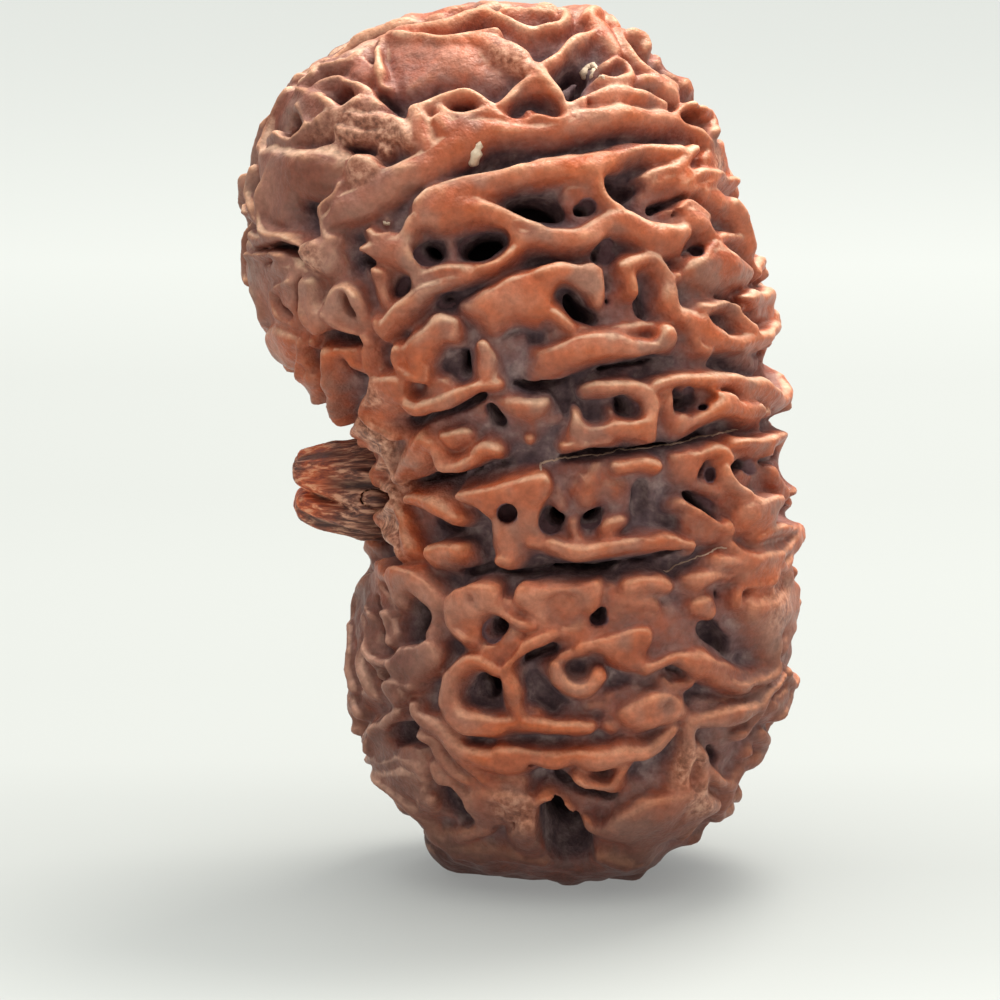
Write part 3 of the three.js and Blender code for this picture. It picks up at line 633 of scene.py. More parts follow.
plate(-.12, (697, 652), (712, 652), (726, 660), (742, 669), (762, 672), (772, 668), (772, 682), (745, 693), (722, 688), (704, 674), r=.3)
ridge(-.02, (690, 660, 6), (700, 668, 8))
ridge(0, (794, 672, 7), (797, 690, 8), (793, 706, 8), (784, 718, 7), wrap=1)
ridge(.02, (788, 676, 3.5), (778, 688, 4), (768, 699, 4.5), (762, 708, 4.5))
ridge(.02, (764, 706, 3), (763, 717, 3), (757, 729, 3.2), (748, 737, 3.5))
ridge(-.1, (773, 701, 5), (778, 708, 4))
plate(-.3, (770, 700), (786, 690), (794, 700), (784, 716), (772, 726), (764, 720))
cut(-1.1, (757, 691, 3), (766, 687, 2.5))
ridge(-.02, (700, 727, 9), (722, 723, 13), (742, 718, 13), (756, 712, 9))
ridge(-.5, (700, 706, 6), (722, 704, 6), (745, 702, 5))
plate(-.6, (655, 612), (680, 612), (700, 624), (704, 648), (680, 656), (662, 655), (655, 640))
ridge(-.5, (683, 632, 5))

# --- under the third line: middle
ridge(0, (632, 592, 8), (648, 590, 9.5), (664, 589, 9), (671, 590, 7))
ridge(-.25, (624, 604, 6), (640, 605, 6), (655, 606, 5), (659, 611, 3))
ridge(-.35, (612, 594, 8), (614, 606, 6))
plate(0, (516, 598), (520, 588), (530, 582), (560, 580.5), (586, 580.5), (598, 587), (602, 600), (600, 611), (594, 619), (586, 619), (581, 611), (577, 600), (572, 595), (556, 595), (547, 600), (548, 612), (553, 624), (549, 631), (541, 629), (530, 618), (521, 608), r=.18)
ridge(.03, (588, 585, 5), (597, 591, 4))
plate(-.4, (548, 596), (578, 596), (582, 618), (570, 628), (552, 628))
cut(-3.4, (597, 621, 8.5), (602, 614, 6.5), r=.15, k=.04)
ridge(-.35, (555, 632, 7), (580, 634, 6), (600, 634, 6))
plate(0, (444, 602), (449, 592), (462, 586), (485, 584.5), (498, 590), (497, 602), (487, 612), (481, 622), (479, 638), (474, 650), (467, 651), (462, 643), (452, 638), (446, 627), (443.5, 614), r=.18)
ridge(.03, (446, 600, 4), (445, 618, 4), (451, 632, 4), (462, 641, 4))
cut(-.22, (471, 600, 4), (473, 612, 4))
cut(-3.0, (492, 630, 11), (495, 631, 11), r=.18, k=.05)
ridge(-.12, (488, 608, 5), (500, 613, 5), (512, 620, 5), (524, 624, 5), (534, 624, 4))
plate(-.45, (495, 598), (514, 600), (524, 614), (508, 614), (494, 608))
ridge(-.3, (512, 640, 12), (500, 652, 12), (486, 654, 10))
ridge(0, (504, 676, 6), (510, 665, 6.5), (519, 655, 6.5), (531, 646, 6), (543, 639, 6), (556, 634, 4))
cut(-1.9, (520, 668, 8), (535, 660, 10), (550, 654, 9), r=.45)
ridge(0, (449, 718, 11), (444, 703, 11), (445, 688, 11), (453, 675, 11), (467, 667, 9), (482, 666, 8), (494, 674, 7))
ridge(0, (447, 714, 9), (462, 724, 11), (480, 728, 10), (500, 728, 9), (525, 729, 9), (550, 732, 9), (572, 733, 9), (586, 733, 8))
ridge(.03, (440, 706, 4), (450, 720, 4.5), (464, 732, 4.5), (482, 735, 4.5), (500, 733, 4.5))
cut(-2.7, (474, 690, 12), (482, 694, 13), (484, 706, 9), r=.25)
ridge(-.9, (464, 690, 6), (466, 704, 7))
ridge(.02, (508, 682, 9), (510, 695, 11), (511, 708, 10), (516, 720, 8))
ridge(-.4, (526, 712, 7), (540, 716, 6))
ridge(0, (553, 670, 7), (558, 684, 8), (570, 693, 8), (583, 693, 7.5), (593, 688, 6), (598, 681, 4))
cut(-.9, (578, 678, 7), (588, 674, 6))
plate(-.03, (572, 658), (578, 646), (600, 640), (620, 634), (640, 627), (652, 631), (656, 645), (651, 658), (652, 671), (636, 677), (618, 673), (605, 662), (592, 657), (580, 662), r=.18)
cut(-.5, (640, 640, 3))
ridge(-.25, (560, 662, 7), (570, 656, 6))
ridge(-.02, (648, 671, 6), (664, 666, 6.5), (680, 661, 7), (692, 668, 7), (702, 677, 6))
cut(-1.2, (678, 674, 5), (690, 680, 5))
ridge(-.3, (664, 680, 4), (669, 688, 4.5), (680, 687, 3.5), (694, 684, 3))
plate(0, (618, 728), (625, 712), (640, 700), (655, 694), (670, 695), (684, 699), (692, 709), (698, 718), (690, 726), (672, 732), (656, 738), (638, 741), (624, 739), r=.3)
cut(-.16, (672, 705, 5), (668, 710, 5), r=.3)
ridge(-.5, (583, 708, 3), (595, 706, 3), (604, 708, 3))
ridge(-.3, (612, 734, 8), (604, 730, 5))
ridge(-.6, (608, 716, 6), (610, 700, 6))
plate(-.8, (560, 706), (600, 700), (620, 690), (640, 685), (620, 720), (590, 724), (560, 720))
ridge(-.9, (640, 655, 5))

# --- under the third line: left
ridge(.02, (368, 563, 3), (378, 571, 3), (386, 580, 3), (390, 590, 3.2), (396, 598, 3.2))
ridge(0, (377, 561, 3), (381, 570, 3), (388, 580, 3))
plate(0, (391, 572), (406, 568), (424, 574), (436, 590), (437, 606), (432, 620), (436, 640), (424, 644), (419, 640), (426, 622), (425, 606), (416, 601), (398, 602), (391, 592), r=.18)
plate(0, (389, 664), (395, 653), (405, 648.5), (418, 647), (432, 642), (438, 655), (434, 670), (424, 681), (412, 690), (403, 688), (395, 678), r=.18)
ridge(.03, (390, 664, 3.5), (394, 676, 3.5), (402, 686, 3.5), (412, 688, 3.5))
cut(-2.5, (410, 610, 17), (408, 625, 18), (401, 640, 11), r=.25, k=.08)
cut(-1.6, (370, 600, 6), (376, 622, 7), (378, 640, 7.5), (382, 656, 6.5), r=.25, k=.08)
cut(-1.5, (366, 668, 6.5), (372, 680, 9), (380, 696, 6.5), r=.3, k=.08)
ridge(-.02, (382, 624, 5), (381, 636, 5.5), (387, 644, 5))
ridge(-.2, (390, 622, 7), (392, 634, 7))
ridge(0, (362, 598, 3), (363.5, 612, 3), (371, 617, 3), (384, 616, 4))
ridge(0, (360, 618, 3), (363, 634, 3), (366, 649, 3.2), (373, 660, 3.5), (384, 664, 4))
plate(-.28, (366, 572), (378, 574), (390, 600), (398, 612), (384, 614), (366, 612), (362, 596))
plate(-.3, (365, 620), (378, 620), (376, 636), (386, 650), (380, 660), (370, 652), (366, 638))
ridge(-.05, (362, 576, 4), (355, 594, 5), (351, 612, 6), (349, 632, 6), (349, 652, 6), (350, 672, 6), (353, 690, 6))
ridge(-.15, (360, 640, 6), (360, 660, 7), (364, 676, 7), (368, 690, 7))
plate(0, (383, 683), (394, 680), (402, 688), (404, 702), (397, 714), (389, 713), (384, 700), r=.18)
plate(-.35, (358, 692), (376, 690), (380, 704), (372, 712), (360, 706))
ridge(-.2, (376, 668, 6), (382, 676, 5))

# --- the lower end
ridge(0, (412, 708, 5), (414, 717, 6), (426, 727, 8), (438, 736, 9), (449, 747, 9.5), (459, 760, 8.5), (469, 772, 7), (482, 783, 5), r=.3, k=.2)
ridge(-.05, (419, 738, 6), (430, 747, 7.5), (437, 758, 8), (444, 769, 7.5), (454, 780, 7), (466, 787, 6), r=.35, k=.25)
ridge(-.08, (433, 772, 6), (439, 785, 8), (449, 796, 9), (459, 805, 10), (469, 813, 9), r=.4, k=.3)
ridge(-.02, (462, 758, 8), (480, 766, 14), (505, 770, 15), (528, 768, 12))
ridge(0, (500, 759, 9), (524, 761, 10), (545, 765, 12), (560, 766, 11), (573, 762, 8.5), (588, 764, 12), (604, 765, 12), (625, 760, 10), (645, 758, 10), (658, 752, 8), (668, 743, 6), (679, 734, 5), r=.2)
ridge(-.02, (580, 782, 4), (590, 788, 4), (603, 791.5, 4), (615, 789, 4), (622, 780, 4), (627, 772, 4))
cut(-1.4, (596, 781, 3.5), (608, 782, 3.5))
ridge(-.3, (470, 790, 12), (495, 788, 12), (520, 786, 10))
cut(-.9, (530, 770, 3), (540, 777, 3))
plate(-.18, (466, 796), (500, 790), (528, 796), (534, 812), (505, 838), (480, 845), (466, 820), r=.3)
cut(-.7, (508, 816, 3), (516, 826, 3), (526, 815, 4))
ridge(0, (534, 816, 4), (538, 806, 4), (548, 802, 4.5), (558, 808, 5), (570, 817, 5))
plate(-.05, (504, 839), (514, 828), (528, 818), (537, 828), (540, 848), (543, 862), (528, 866), (515, 858), (508, 850), r=.18)
cut(-3.2, (551, 816, 17), (560, 834, 23), (568, 852, 26), (574, 868, 20), r=.25, k=.08)
cut(-2.2, (560, 790, 10), (590, 800, 12), (610, 806, 12), r=.5)
ridge(-.9, (640, 786, 10), (655, 778, 8), (630, 800, 8))
ridge(-.16, (425, 793, 6), (422, 808, 8), (425, 824, 9), (434, 836, 10), (450, 842, 11), (470, 840, 10), (486, 836, 8), r=.5, k=.4)
plate(-.3, (426, 800), (438, 796), (438, 830), (430, 830))
cut(-2.0, (441, 799, 12), (448, 815, 17), (457, 829, 12), r=.35, k=.12)
ridge(-.3, (474, 812, 10), (478, 826, 10))
ridge(-.12, (368, 731, 5), (378, 726, 6), (388, 721, 6), (396, 715, 5), r=.35, k=.25)
ridge(-.14, (368, 761, 6), (380, 763.5, 7), (396, 763, 7), (410, 767, 7), (420, 773, 7), r=.4, k=.3)
ridge(-.04, (364, 742, 5), (366, 752, 5))
plate(-.2, (370, 768), (395, 768), (425, 775), (428, 800), (418, 812), (400, 796), (380, 782), r=.3)
ridge(.04, (374, 778, 8), (388, 790, 9), (402, 803, 10), (414, 818, 10), (426, 833, 10), (442, 847, 9), (460, 858, 9), (482, 866, 8), r=.4, k=.3)
cut(-2.1, (388, 741, 13), (402, 742, 13), (412, 748, 8), r=.3, k=.12)
ridge(-.2, (425, 838, 5), (415, 806, 6))
ridge(0, (696, 734, 8), (694, 750, 9), (690, 766, 10), (684, 784, 13), (680, 800, 18))
ridge(.02, (704, 757, 3), (706, 770, 3.5), (706, 784, 3.5), (707, 793, 4))
ridge(.02, (692, 764, 3), (684, 774, 3))
cut(-.5, (695, 784, 2.2), (696, 792, 2.2))
ridge(.02, (720, 806, 4.5), (710, 815, 4), (700, 824, 4), (692, 834, 4), (684, 843, 4))
plate(-.02, (583, 822), (590, 826), (602, 833), (618, 818), (640, 806), (668, 796), (700, 792), (716, 800), (722, 809), (706, 820), (690, 838), (676, 847), (660, 856), (650, 869), (636, 869), (624, 852), (606, 847), (592, 838), r=.18)
ridge(-.12, (702, 754, 4.5), (710, 764, 5), (718, 776, 6), (727, 786, 6), (734, 790, 6), r=.35, k=.25)
cut(-1.6, (722, 762, 9), (728, 770, 8), r=.45)
ridge(-.2, (755, 757, 11), r=.5, k=.4)
ridge(-.16, (768, 738, 10), (771, 752, 10), (760, 766, 10), (746, 778, 10), (736, 790, 10), (728, 806, 9), (722, 820, 8), wrap=1, r=.5, k=.4)
cut(-1.4, (712, 788, 4), (718, 796, 4))
ridge(-.35, (712, 826, 6), (704, 832, 6))
ridge(-.02, (351, 688, 6), (352, 700, 6.5), (357, 713, 6), r=.35)
ridge(-.25, (690, 848, 9), (700, 838, 8), r=.5, k=.4)
ridge(-.02, (428, 838, 9), (444, 849, 11), (464, 856, 12), (488, 861, 13), (514, 866, 12), (540, 870, 9), r=.5, k=.5)
ridge(-.08, (600, 862, 9), (622, 866, 8), (645, 864, 8), r=.5, k=.4)
# the furrows' ends on the far edge
cut(-1.0, (774, 421, 5), (786, 422, 6), (796, 423, 7), wrap=1)
cut(-2.0, (774, 458, 5), (784, 461, 7), (794, 464, 9), wrap=1)
cut(-1.5, (780, 515, 4), (790, 518, 5.5), (800, 520, 7), wrap=1)
cut(-1.0, (758, 362, 5), (770, 361, 5), (782, 361, 6), wrap=1)
cut(-0.7, (744, 800, 5), (736, 806, 6), wrap=1)
# cracks at the bottom of the furrows
cut(-2.9, (452, 570, 5.1), (475, 571, 6.9), (500, 576, 6.4), (525, 579, 7.4), (552, 577, 8.6), (582, 577, 8.1), (612, 574, 7.4), (640, 569, 5.8), (664, 563, 6.4), (690, 553, 5.1), r=.08, k=.03)
cut(-2.8, (512, 391, 5.8), (535, 390, 8.1), (560, 388, 7.4), (582, 378, 5.8), (612, 368, 6.9), (650, 363, 6.9), (690, 356, 5.8), r=.08, k=.03)
cut(-2.8, (402, 436, 6.4), (425, 424, 7.4), (452, 416, 6.4), (480, 402, 7.4), r=.08, k=.03)
cut(-2.8, (404, 488, 5.8), (430, 486, 6.9), (450, 483, 5.1), (480, 476, 5.8), (510, 470, 6.4), (536, 464, 5.1), r=.08, k=.03)
cut(-2.8, (560, 464, 5.8), (590, 459, 6.9), (618, 456, 5.8), (650, 450, 6.4), (690, 444, 6.9), (730, 436, 6.4), r=.08, k=.03)
# holes
bore(427, 253, 14, 11, 15)
bore(482, 245, 23, 14, 14, 1.5)
bore(588, 206, 9, 7.5, 10)
bore(607, 249, 8, 13, -8)
bore(446, 302, 10, 5, 8)
bore(463, 370, 8, 12, 10)
bore(698, 251, 7, 5)
bore(402, 286, 6, 12, -25)
bore(690, 391, 5, 6)
bore(704, 408, 7, 4.5, 10)
bore(631, 408, 8, 7, 0, 1.0)
bore(507, 514, 9, 9)
bore(551, 524, 12, 11)
bore(592, 522, 12, 7, 18)
bore(711, 475, 6, 8)
bore(752, 466, 9, 8, 30)
bore(703, 504, 12, 6, -28)
bore(493, 631, 11, 12, 0, 0.9)
bore(484, 696, 7, 15, 0, 0.8)
bore(599, 619, 9, 7, -10)
# suture lines in the furrows, and dry shreds
seam(1.2, (541, 471), (541, 464), (550, 461), (560, 459), (580, 456), (600, 455), (612, 452), (618, 450), (640, 449), (660, 446), (680, 443), (700, 437), (715, 435), (725, 432), (738, 429))
seam(1.0, (663, 570), (668, 572), (676, 565), (690, 560), (700, 556), (710, 553), (715, 549), (727, 548))
crumb((480, 142, 2.8), (477, 150, 4.8), (474, 159, 5.4), (471, 166, 3.2))
crumb((585, 80, 1.6), (583.5, 74, 3.4), (587, 68, 4.4), (593, 66, 3.8), (597, 69, 2.2))
crumb((590, 79, 1.4), (593, 74, 2.8), (594, 69, 2.6))
crumb((598, 79, 1.4), (602, 76, 2.2), (605, 79, 1.2))
crumb((383, 221, 1.4), (387, 224, 2.2), (390, 223, 1.4))
# knobs that stand out of the outline at the top right
ridge(.1, (592, 12, 9), (606, 12, 10), (617, 20, 9), r=.3)
ridge(.3, (634, 33, 9), (644, 38, 10), (650, 45, 8), r=.3)
ridge(.04, (648, 76, 8), (664, 82, 8), (678, 92, 8), r=.3)
ridge(.35, (690, 108, 7), (704, 110, 8), (713, 120, 9), (712, 132, 8), r=.3)
ridge(.25, (735, 205, 9), (746, 225, 9), (754, 245, 9), r=.3)


# ------------------------------------------------------------------ carving
def thick(knots, step=4.0):
    """Knots -> evenly spaced (x, y, half width, height offset) along a smooth curve."""
    k = np.array([(*q, 0.0)[:4] for q in knots], float)
    if len(k) == 1:
        return k
    out = []
    pad = np.concatenate([[2 * k[0] - k[1]], k, [2 * k[-1] - k[-2]]])
    for i in range(len(k) - 1):
        n = max(2, int(np.ceil(np.hypot(*(k[i + 1, :2] - k[i, :2])) / step)))
        t = np.arange(n)[:, None] / n
        p0, p1, p2, p3 = pad[i : i + 4]
        out.append(0.5 * (2 * p1 + (p2 - p0) * t + (2 * p0 - 5 * p1 + 4 * p2 - p3) * t**2 + (3 * p1 - p0 - 3 * p2 + p3) * t**3))
    out.append(k[-1:])
    out = np.concatenate(out)
    out[:, 2] = np.maximum(out[:, 2], 1.0)
    return out


def ring(corners, step=4.0):
    c = np.array([q[:2] for q in corners], float)
    n = len(c)
    out = []
    for i in range(n):
        p0, p1, p2, p3 = c[(i - 1) % n], c[i], c[(i + 1) % n], c[(i + 2) % n]
        m = max(1, int(round(np.hypot(*(p2 - p1)) / step)))
        t = np.arange(m)[:, None] / m
        out.append(0.5 * (2 * p1 + (p2 - p0) * t + (2 * p0 - 5 * p1 + 4 * p2 - p3) * t**2 + (3 * p1 - p0 - 3 * p2 + p3) * t**3))
    return np.concatenate(out)


def rounded(out, over, r):
    """Distance to a shape with a rounded edge. out: distance outside its outline, over: distance over its top."""
    qx, qy = out + r, over + r
    return np.minimum(np.maximum(qx, qy), 0) + np.sqrt(np.maximum(qx, 0) ** 2 + np.maximum(qy, 0) ** 2) - r


def shoulder(out, over, r, w=None):
    """1 on the rounded edge of a shape, 0 on its top and its walls. A crest thinner than 0.2 mm is all edge."""
    qx, qy = np.maximum(out + r, 0), np.maximum(over + r, 0)
    c = 2 * qx * qy / (qx * qx + qy * qy + 1e-4)
    if w is not None:
        c = np.maximum(c, np.clip((0.21 - w) / 0.09, 0, 1) * np.clip(1 + (over - 0.05) / 0.2, 0, 1))
    return c.astype(np.float32)


def shape_line(f, p3, width, top):
    """A feature along a line of surface points, as pieces of distance field: [(box, values)]."""
    n = len(p3)
    _, normal = on_form(p3)
    sign = -1 if f["kind"] == "cut" else 1
    size = width.max() + 0.9
    whole = box_of(np.concatenate([p3 + 0.9 * normal, p3 - 3.9 * normal]), size)
    shape = [s.stop - s.start for s in whole]
    if min(shape) <= 0:
        return None
    out = np.full(shape, 9.0, np.float32)
    rims = np.zeros(shape, np.float32)
    chunk = 5
    for c in range(0, max(n - 1, 1), chunk):
        part = p3[c : c + chunk + 1]
        pn = normal[c : c + chunk + 1]
        b = box_of(np.concatenate([part + 0.9 * pn, part - 3.9 * pn]), width[c : c + chunk + 1].max() + 0.9)
        if any(s.stop <= s.start for s in b):
            continue
        s3, a = S[b], A[b]
        best = None
        for j in range(max(len(part) - 1, 1)):
            i0, i1 = c + j, min(c + j + 1, n - 1)
            e = p3[i1] - p3[i0]
            ee = float(e @ e)
            d3 = s3 - p3[i0].astype(np.float32)
            t = np.clip(d3 @ (e / ee).astype(np.float32), 0, 1) if ee > 1e-9 else np.zeros(a.shape, np.float32)
            dist = np.sqrt(((d3 - t[..., None] * e.astype(np.float32)) ** 2).sum(-1))
            w = (width[i0] + (width[i1] - width[i0]) * t).astype(np.float32)
            h = (top[i0] + (top[i1] - top[i0]) * t).astype(np.float32)
            if sign > 0:
                r = np.minimum(f["r"], w)
                rise = d3[..., 2] - t * np.float32(e[2])
                h = h + TILT * np.clip(rise, -0.6, 0.6) - CROWN * np.clip(dist / w, 0, 1.3) ** 2 * np.minimum(w, 0.6)
                # the lower side of a ridge is softer and slopes more than the upper one
                under = np.clip(0.5 - rise / np.maximum(w, 0.15), 0, 1)
                r = np.minimum(f["r"] * (1.35 + 0.9 * under), np.maximum(w, 0.08))
                wide = w + (f["draft"] * (0.6 + 1.5 * under) + 0.22 * np.clip((0.22 - w) / 0.1, 0, 1)) * np.clip(h - a, 0, 2.2)
                v = rounded(dist - wide, a - h, r)
                edge_now = shoulder(dist - wide, a - h, r, w) * (1 - 0.75 * under)
            else:
                r = np.minimum(f["r"], w * 0.9)
                wide = w + f["draft"] * np.clip(-a, 0, 2.5)
                v = rounded(dist - wide, h - a, r)
                edge_now = np.zeros_like(v)
            if best is None:
                best, rim = v, edge_now
            else:
                rim = np.where(v < best, edge_now, rim)
                best = np.minimum(best, v)
        inner = tuple(slice(q.start - g.start, q.stop - g.start) for q, g in zip(b, whole))
        rims[inner] = np.where(best < out[inner], rim, rims[inner])
        out[inner] = np.minimum(out[inner], best)
    return whole, out, rims


def shape_plate(f, p3, top):
    centre = p3.mean(0)
    centre, normal = (v[0] for v in on_form(centre[None]))
    normal /= np.linalg.norm(normal)
    e1 = np.cross(normal, [0, 0, 1.0])
    e1 /= np.linalg.norm(e1)
    e2 = np.cross(normal, e1)
    _, ns = on_form(p3)
    b = box_of(np.concatenate([p3 + 0.9 * ns, p3 - 3.9 * ns]), 0.9)
    if any(s.stop <= s.start for s in b):
        return None
    flat = np.stack([(p3 - centre) @ e1, (p3 - centre) @ e2], -1).astype(np.float32)
    d3 = S[b] - centre.astype(np.float32)
    u, v, a = d3 @ e1.astype(np.float32), d3 @ e2.astype(np.float32), A[b]
    front = (d3 @ normal.astype(np.float32)) > -3.5
    best = np.full(u.shape, 1e9, np.float32)
    inside = np.zeros(u.shape, bool)
    for i in range(len(flat)):
        (x0, y0), (x1, y1) = flat[i], flat[(i + 1) % len(flat)]
        ex, ey = x1 - x0, y1 - y0
        wx, wy = u - x0, v - y0
        t = np.clip((wx * ex + wy * ey) / max(ex * ex + ey * ey, 1e-9), 0, 1)
        best = np.minimum(best, (wx - t * ex) ** 2 + (wy - t * ey) ** 2)
        cross = (y0 <= v) != (y1 <= v)
        if abs(y1 - y0) > 1e-9:
            inside ^= cross & (u < x0 + (v - y0) * ex / (y1 - y0))
    out = np.sqrt(best) * np.where(inside, -1, 1)
    out = np.where(front, out, 9)
    h = top + TILT * np.clip(v * np.float32(e2[2]) if abs(e2[2]) > abs(e1[2]) else u * np.float32(e1[2]), -0.9, 0.9) - f["dish"] * np.clip(-out / 0.35, 0, 1) ** 2 * (3 - 2 * np.clip(-out / 0.35, 0, 1))
    rise = u * np.float32(e1[2]) + v * np.float32(e2[2])
    tall = max(0.3, float((p3[:, 2] - centre[2]).max() - (p3[:, 2] - centre[2]).min()) * 0.5)
    under = np.clip(0.45 - 0.75 * rise / tall, 0, 1)
    r = f["r"] * (1.2 + 0.9 * under)
    h = h - (0.07 + 0.13 * under) * np.clip(1 + out / 0.6, 0, 1) ** 2
    out = out - f["draft"] * (0.6 + 1.5 * under) * np.clip(h - a, 0, 2.2)
    val = rounded(out, a - h, r)
    return b, val.astype(np.float32), shoulder(out, a - h, r) * (1 - 0.75 * under)


def smin(a, b, k):
    h = np.maximum(k - np.abs(a - b), 0) / k
    return np.minimum(a, b) - h * h * k * 0.25


def bearings(p):
    """t and bearing in degrees of points of the smooth form."""
    k = phi_of(p[:, 2]) / math.pi * 20
    s = np.sin(phi_of(p[:, 2]))
    x = (p[:, 0] - curve(MIDDLE_X, k)) / np.maximum(curve(HALF_WIDTH, k) * s, 1e-3)
    y = -p[:, 1] / np.maximum(curve(HALF_DEPTH, k) * s, 1e-3)
    q = SECTION_POWER / 2
    deg = np.degrees(np.arctan2(np.sign(y) * np.abs(y) ** q, np.sign(x) * np.abs(x) ** q))
    z = line_heights(deg)
    i = np.clip((p[:, 2:3] >= z).sum(1) - 1, 0, 7)
    rows = np.arange(len(p))
    ph, lo, hi = phi_of(p[:, 2]), phi_of(z[rows, i]), phi_of(z[rows, i + 1])
    return i + np.clip((ph - lo) / np.maximum(hi - lo, 1e-6), 0, 1), deg


placed = []
for f in features:
    if f["kind"] == "plate":
        c = ring(f["knots"])
        p3 = unproject(c[:, 0], c[:, 1], np.full(len(c), f["top"]))
        placed.append((f, p3, None, f["top"]))
        continue
    c = thick(f["knots"])
    top = f["top"] + c[:, 3]
    p3 = unproject(c[:, 0], c[:, 1], np.minimum(top, 0.0) if f["kind"] == "ridge" else np.zeros(len(c)))
    width = c[:, 2] * PX
    if f["wrap"]:
        t, deg = bearings(p3[-1:])
        more = np.arange(1, 7) * -7.0 + deg[0]
        extra = spot(np.full(6, t[0]), more)
        p3 = np.concatenate([p3, extra])
        width = np.concatenate([width, width[-1] * np.linspace(1.0, 0.6, 6)])
        top = np.concatenate([top, np.full(6, top[-1])])
    placed.append((f, p3, width, top))



def low(top, *knots, r=0.3, draft=0.3, k=0.25, upper=False):
    """A ridge on the lower or upper end. knots: (x, y, half width) in millimetres, seen from above; heights follow the form."""
    k3 = np.array(knots, float)
    n = max(2, int(sum(np.hypot(*(k3[i + 1, :2] - k3[i, :2])) for i in range(len(k3) - 1)) / 0.15)) if len(k3) > 1 else 1
    t = np.linspace(0, len(k3) - 1, n)
    p = np.stack([curve(k3[:, j], t) for j in range(3)], -1) if n > 1 else k3
    z = np.linspace(33.0, 20.0, 131) if upper else np.linspace(-0.4, 6.0, 129)
    q = np.stack([p[:, 0, None] + 0 * z, p[:, 1, None] + 0 * z, 0 * p[:, 0, None] + z], -1)
    a = sample(coarse_a, q)
    i = np.argmax(a < 0, axis=1)
    s3, _ = on_form(q[np.arange(len(p)), i])
    placed.append((dict(kind="ridge", top=top, knots=(), r=r, draft=draft, wrap=2, dish=0.0, k=k), s3, p[:, 2], np.full(len(p), float(top))))


# The lower end, which the camera hardly sees: low swellings that meet on the flat spot.
low(0.05, (-4.3, -0.6, 0.9), (-3.3, -0.3, 1.1), (-2.3, 0.0, 1.1))
low(0.05, (-1.5, 0.1, 0.9), (-0.4, 0.3, 1.1), (0.8, 0.0, 1.2), (2.0, 0.1, 0.9))
low(0.0, (-2.6, -0.9, 0.5), (-1.7, -0.5, 0.6), (-0.7, 0.0, 0.8))
low(0.0, (0.3, -2.4, 0.5), (0.5, -1.5, 0.7), (0.7, -0.6, 0.9))
low(-0.1, (2.6, -1.9, 0.6), (2.2, -1.1, 0.7), (1.7, -0.3, 0.8))
low(-0.15, (-3.2, 1.4, 0.6), (-2.2, 1.2, 0.7), (-1.1, 0.6, 0.8))
low(-0.1, (-1.1, 2.9, 0.6), (-0.6, 2.0, 0.8), (-0.1, 1.0, 0.9))
low(-0.1, (1.5, 2.9, 0.6), (1.2, 1.8, 0.8), (0.9, 0.9, 0.9))
low(-0.15, (3.6, 1.2, 0.6), (2.8, 0.9, 0.7), (2.0, 0.4, 0.8))

# The upper end behind the outline that the camera sees.
def high(top, *knots):
    low(top, *knots, r=0.22, draft=0.2, k=0.3, upper=True)


high(-0.12, (-6.6, 1.1, 0.3), (-5.6, 1.5, 0.42), (-4.4, 1.3, 0.5), (-3.2, 1.7, 0.42), (-2.0, 1.5, 0.5), (-0.8, 1.9, 0.42), (0.5, 1.6, 0.5), (1.8, 2.0, 0.42), (3.0, 1.7, 0.3))
high(-0.05, (-3.3, 1.7, 0.35), (-2.8, 2.6, 0.5), (-3.5, 3.5, 0.42), (-3.3, 4.5, 0.3))
high(-0.08, (-0.8, 1.9, 0.35), (-0.3, 2.8, 0.45), (-1.1, 3.6, 0.5), (-0.6, 4.6, 0.35))
high(-0.12, (1.0, 1.8, 0.4), (1.6, 2.8, 0.55), (2.7, 3.3, 0.45), (3.6, 3.0, 0.3))
high(-0.25, (-2.2, 2.6, 0.5), (-1.8, 3.4, 0.6))
high(-0.15, (-5.4, 1.6, 0.4), (-4.8, 2.7, 0.5), (-5.2, 3.7, 0.42), (-4.5, 4.6, 0.35))
high(-0.3, (0.3, 2.9, 0.5), (0.6, 3.8, 0.55))
high(-0.2, (-7.4, 0.9, 0.35), (-7.0, 1.9, 0.45), (-6.3, 2.8, 0.4))
high(-0.2, (3.4, 1.0, 0.35), (4.2, 1.6, 0.5), (5.0, 1.3, 0.45), (5.7, 1.7, 0.3))
high(-0.3, (-1.6, 0.9, 0.4), (-1.3, 1.6, 0.4))
high(-0.3, (2.0, 1.0, 0.35), (2.2, 1.8, 0.4))

# The far side carries ridges of the same kind, moved to other faces and turned over, so that it isn't a mirror image.
FROM = {0: (0, 0), 1: (2, 1), 2: (1, 1), 3: (4, 0), 4: (5, 1), 5: (3, 0), 6: (6, 1), 7: (7, 0)}
sources = {}
for face, (source, turned) in FROM.items():
    sources.setdefault(source, []).append((face, turned))
rng = np.random.default_rng(5)
back = []
for f, p3, width, top in placed:
    if f.get("wrap") == 2:
        continue
    t, deg = bearings(p3)
    middle = float(np.mean(t))
    source = int(min(7, max(0, math.floor(middle))))
    for face, turned in sources.get(source, []):
        part = t - source
        part = 1 - part if turned else part
        shift = {0: 25, 7: 38}.get(face, 9.0 * math.sin(face * 2.1))
        new_deg = -(deg + shift)
        new = spot(np.clip(face + part, 0.02, 7.98), new_deg)
        if (new[:, 1] < -0.4).all():
            continue
        g = dict(f)
        g["wrap"] = 0
        scale = rng.uniform(0.9, 1.2)
        back.append((g, new, None if width is None else width * scale, top))


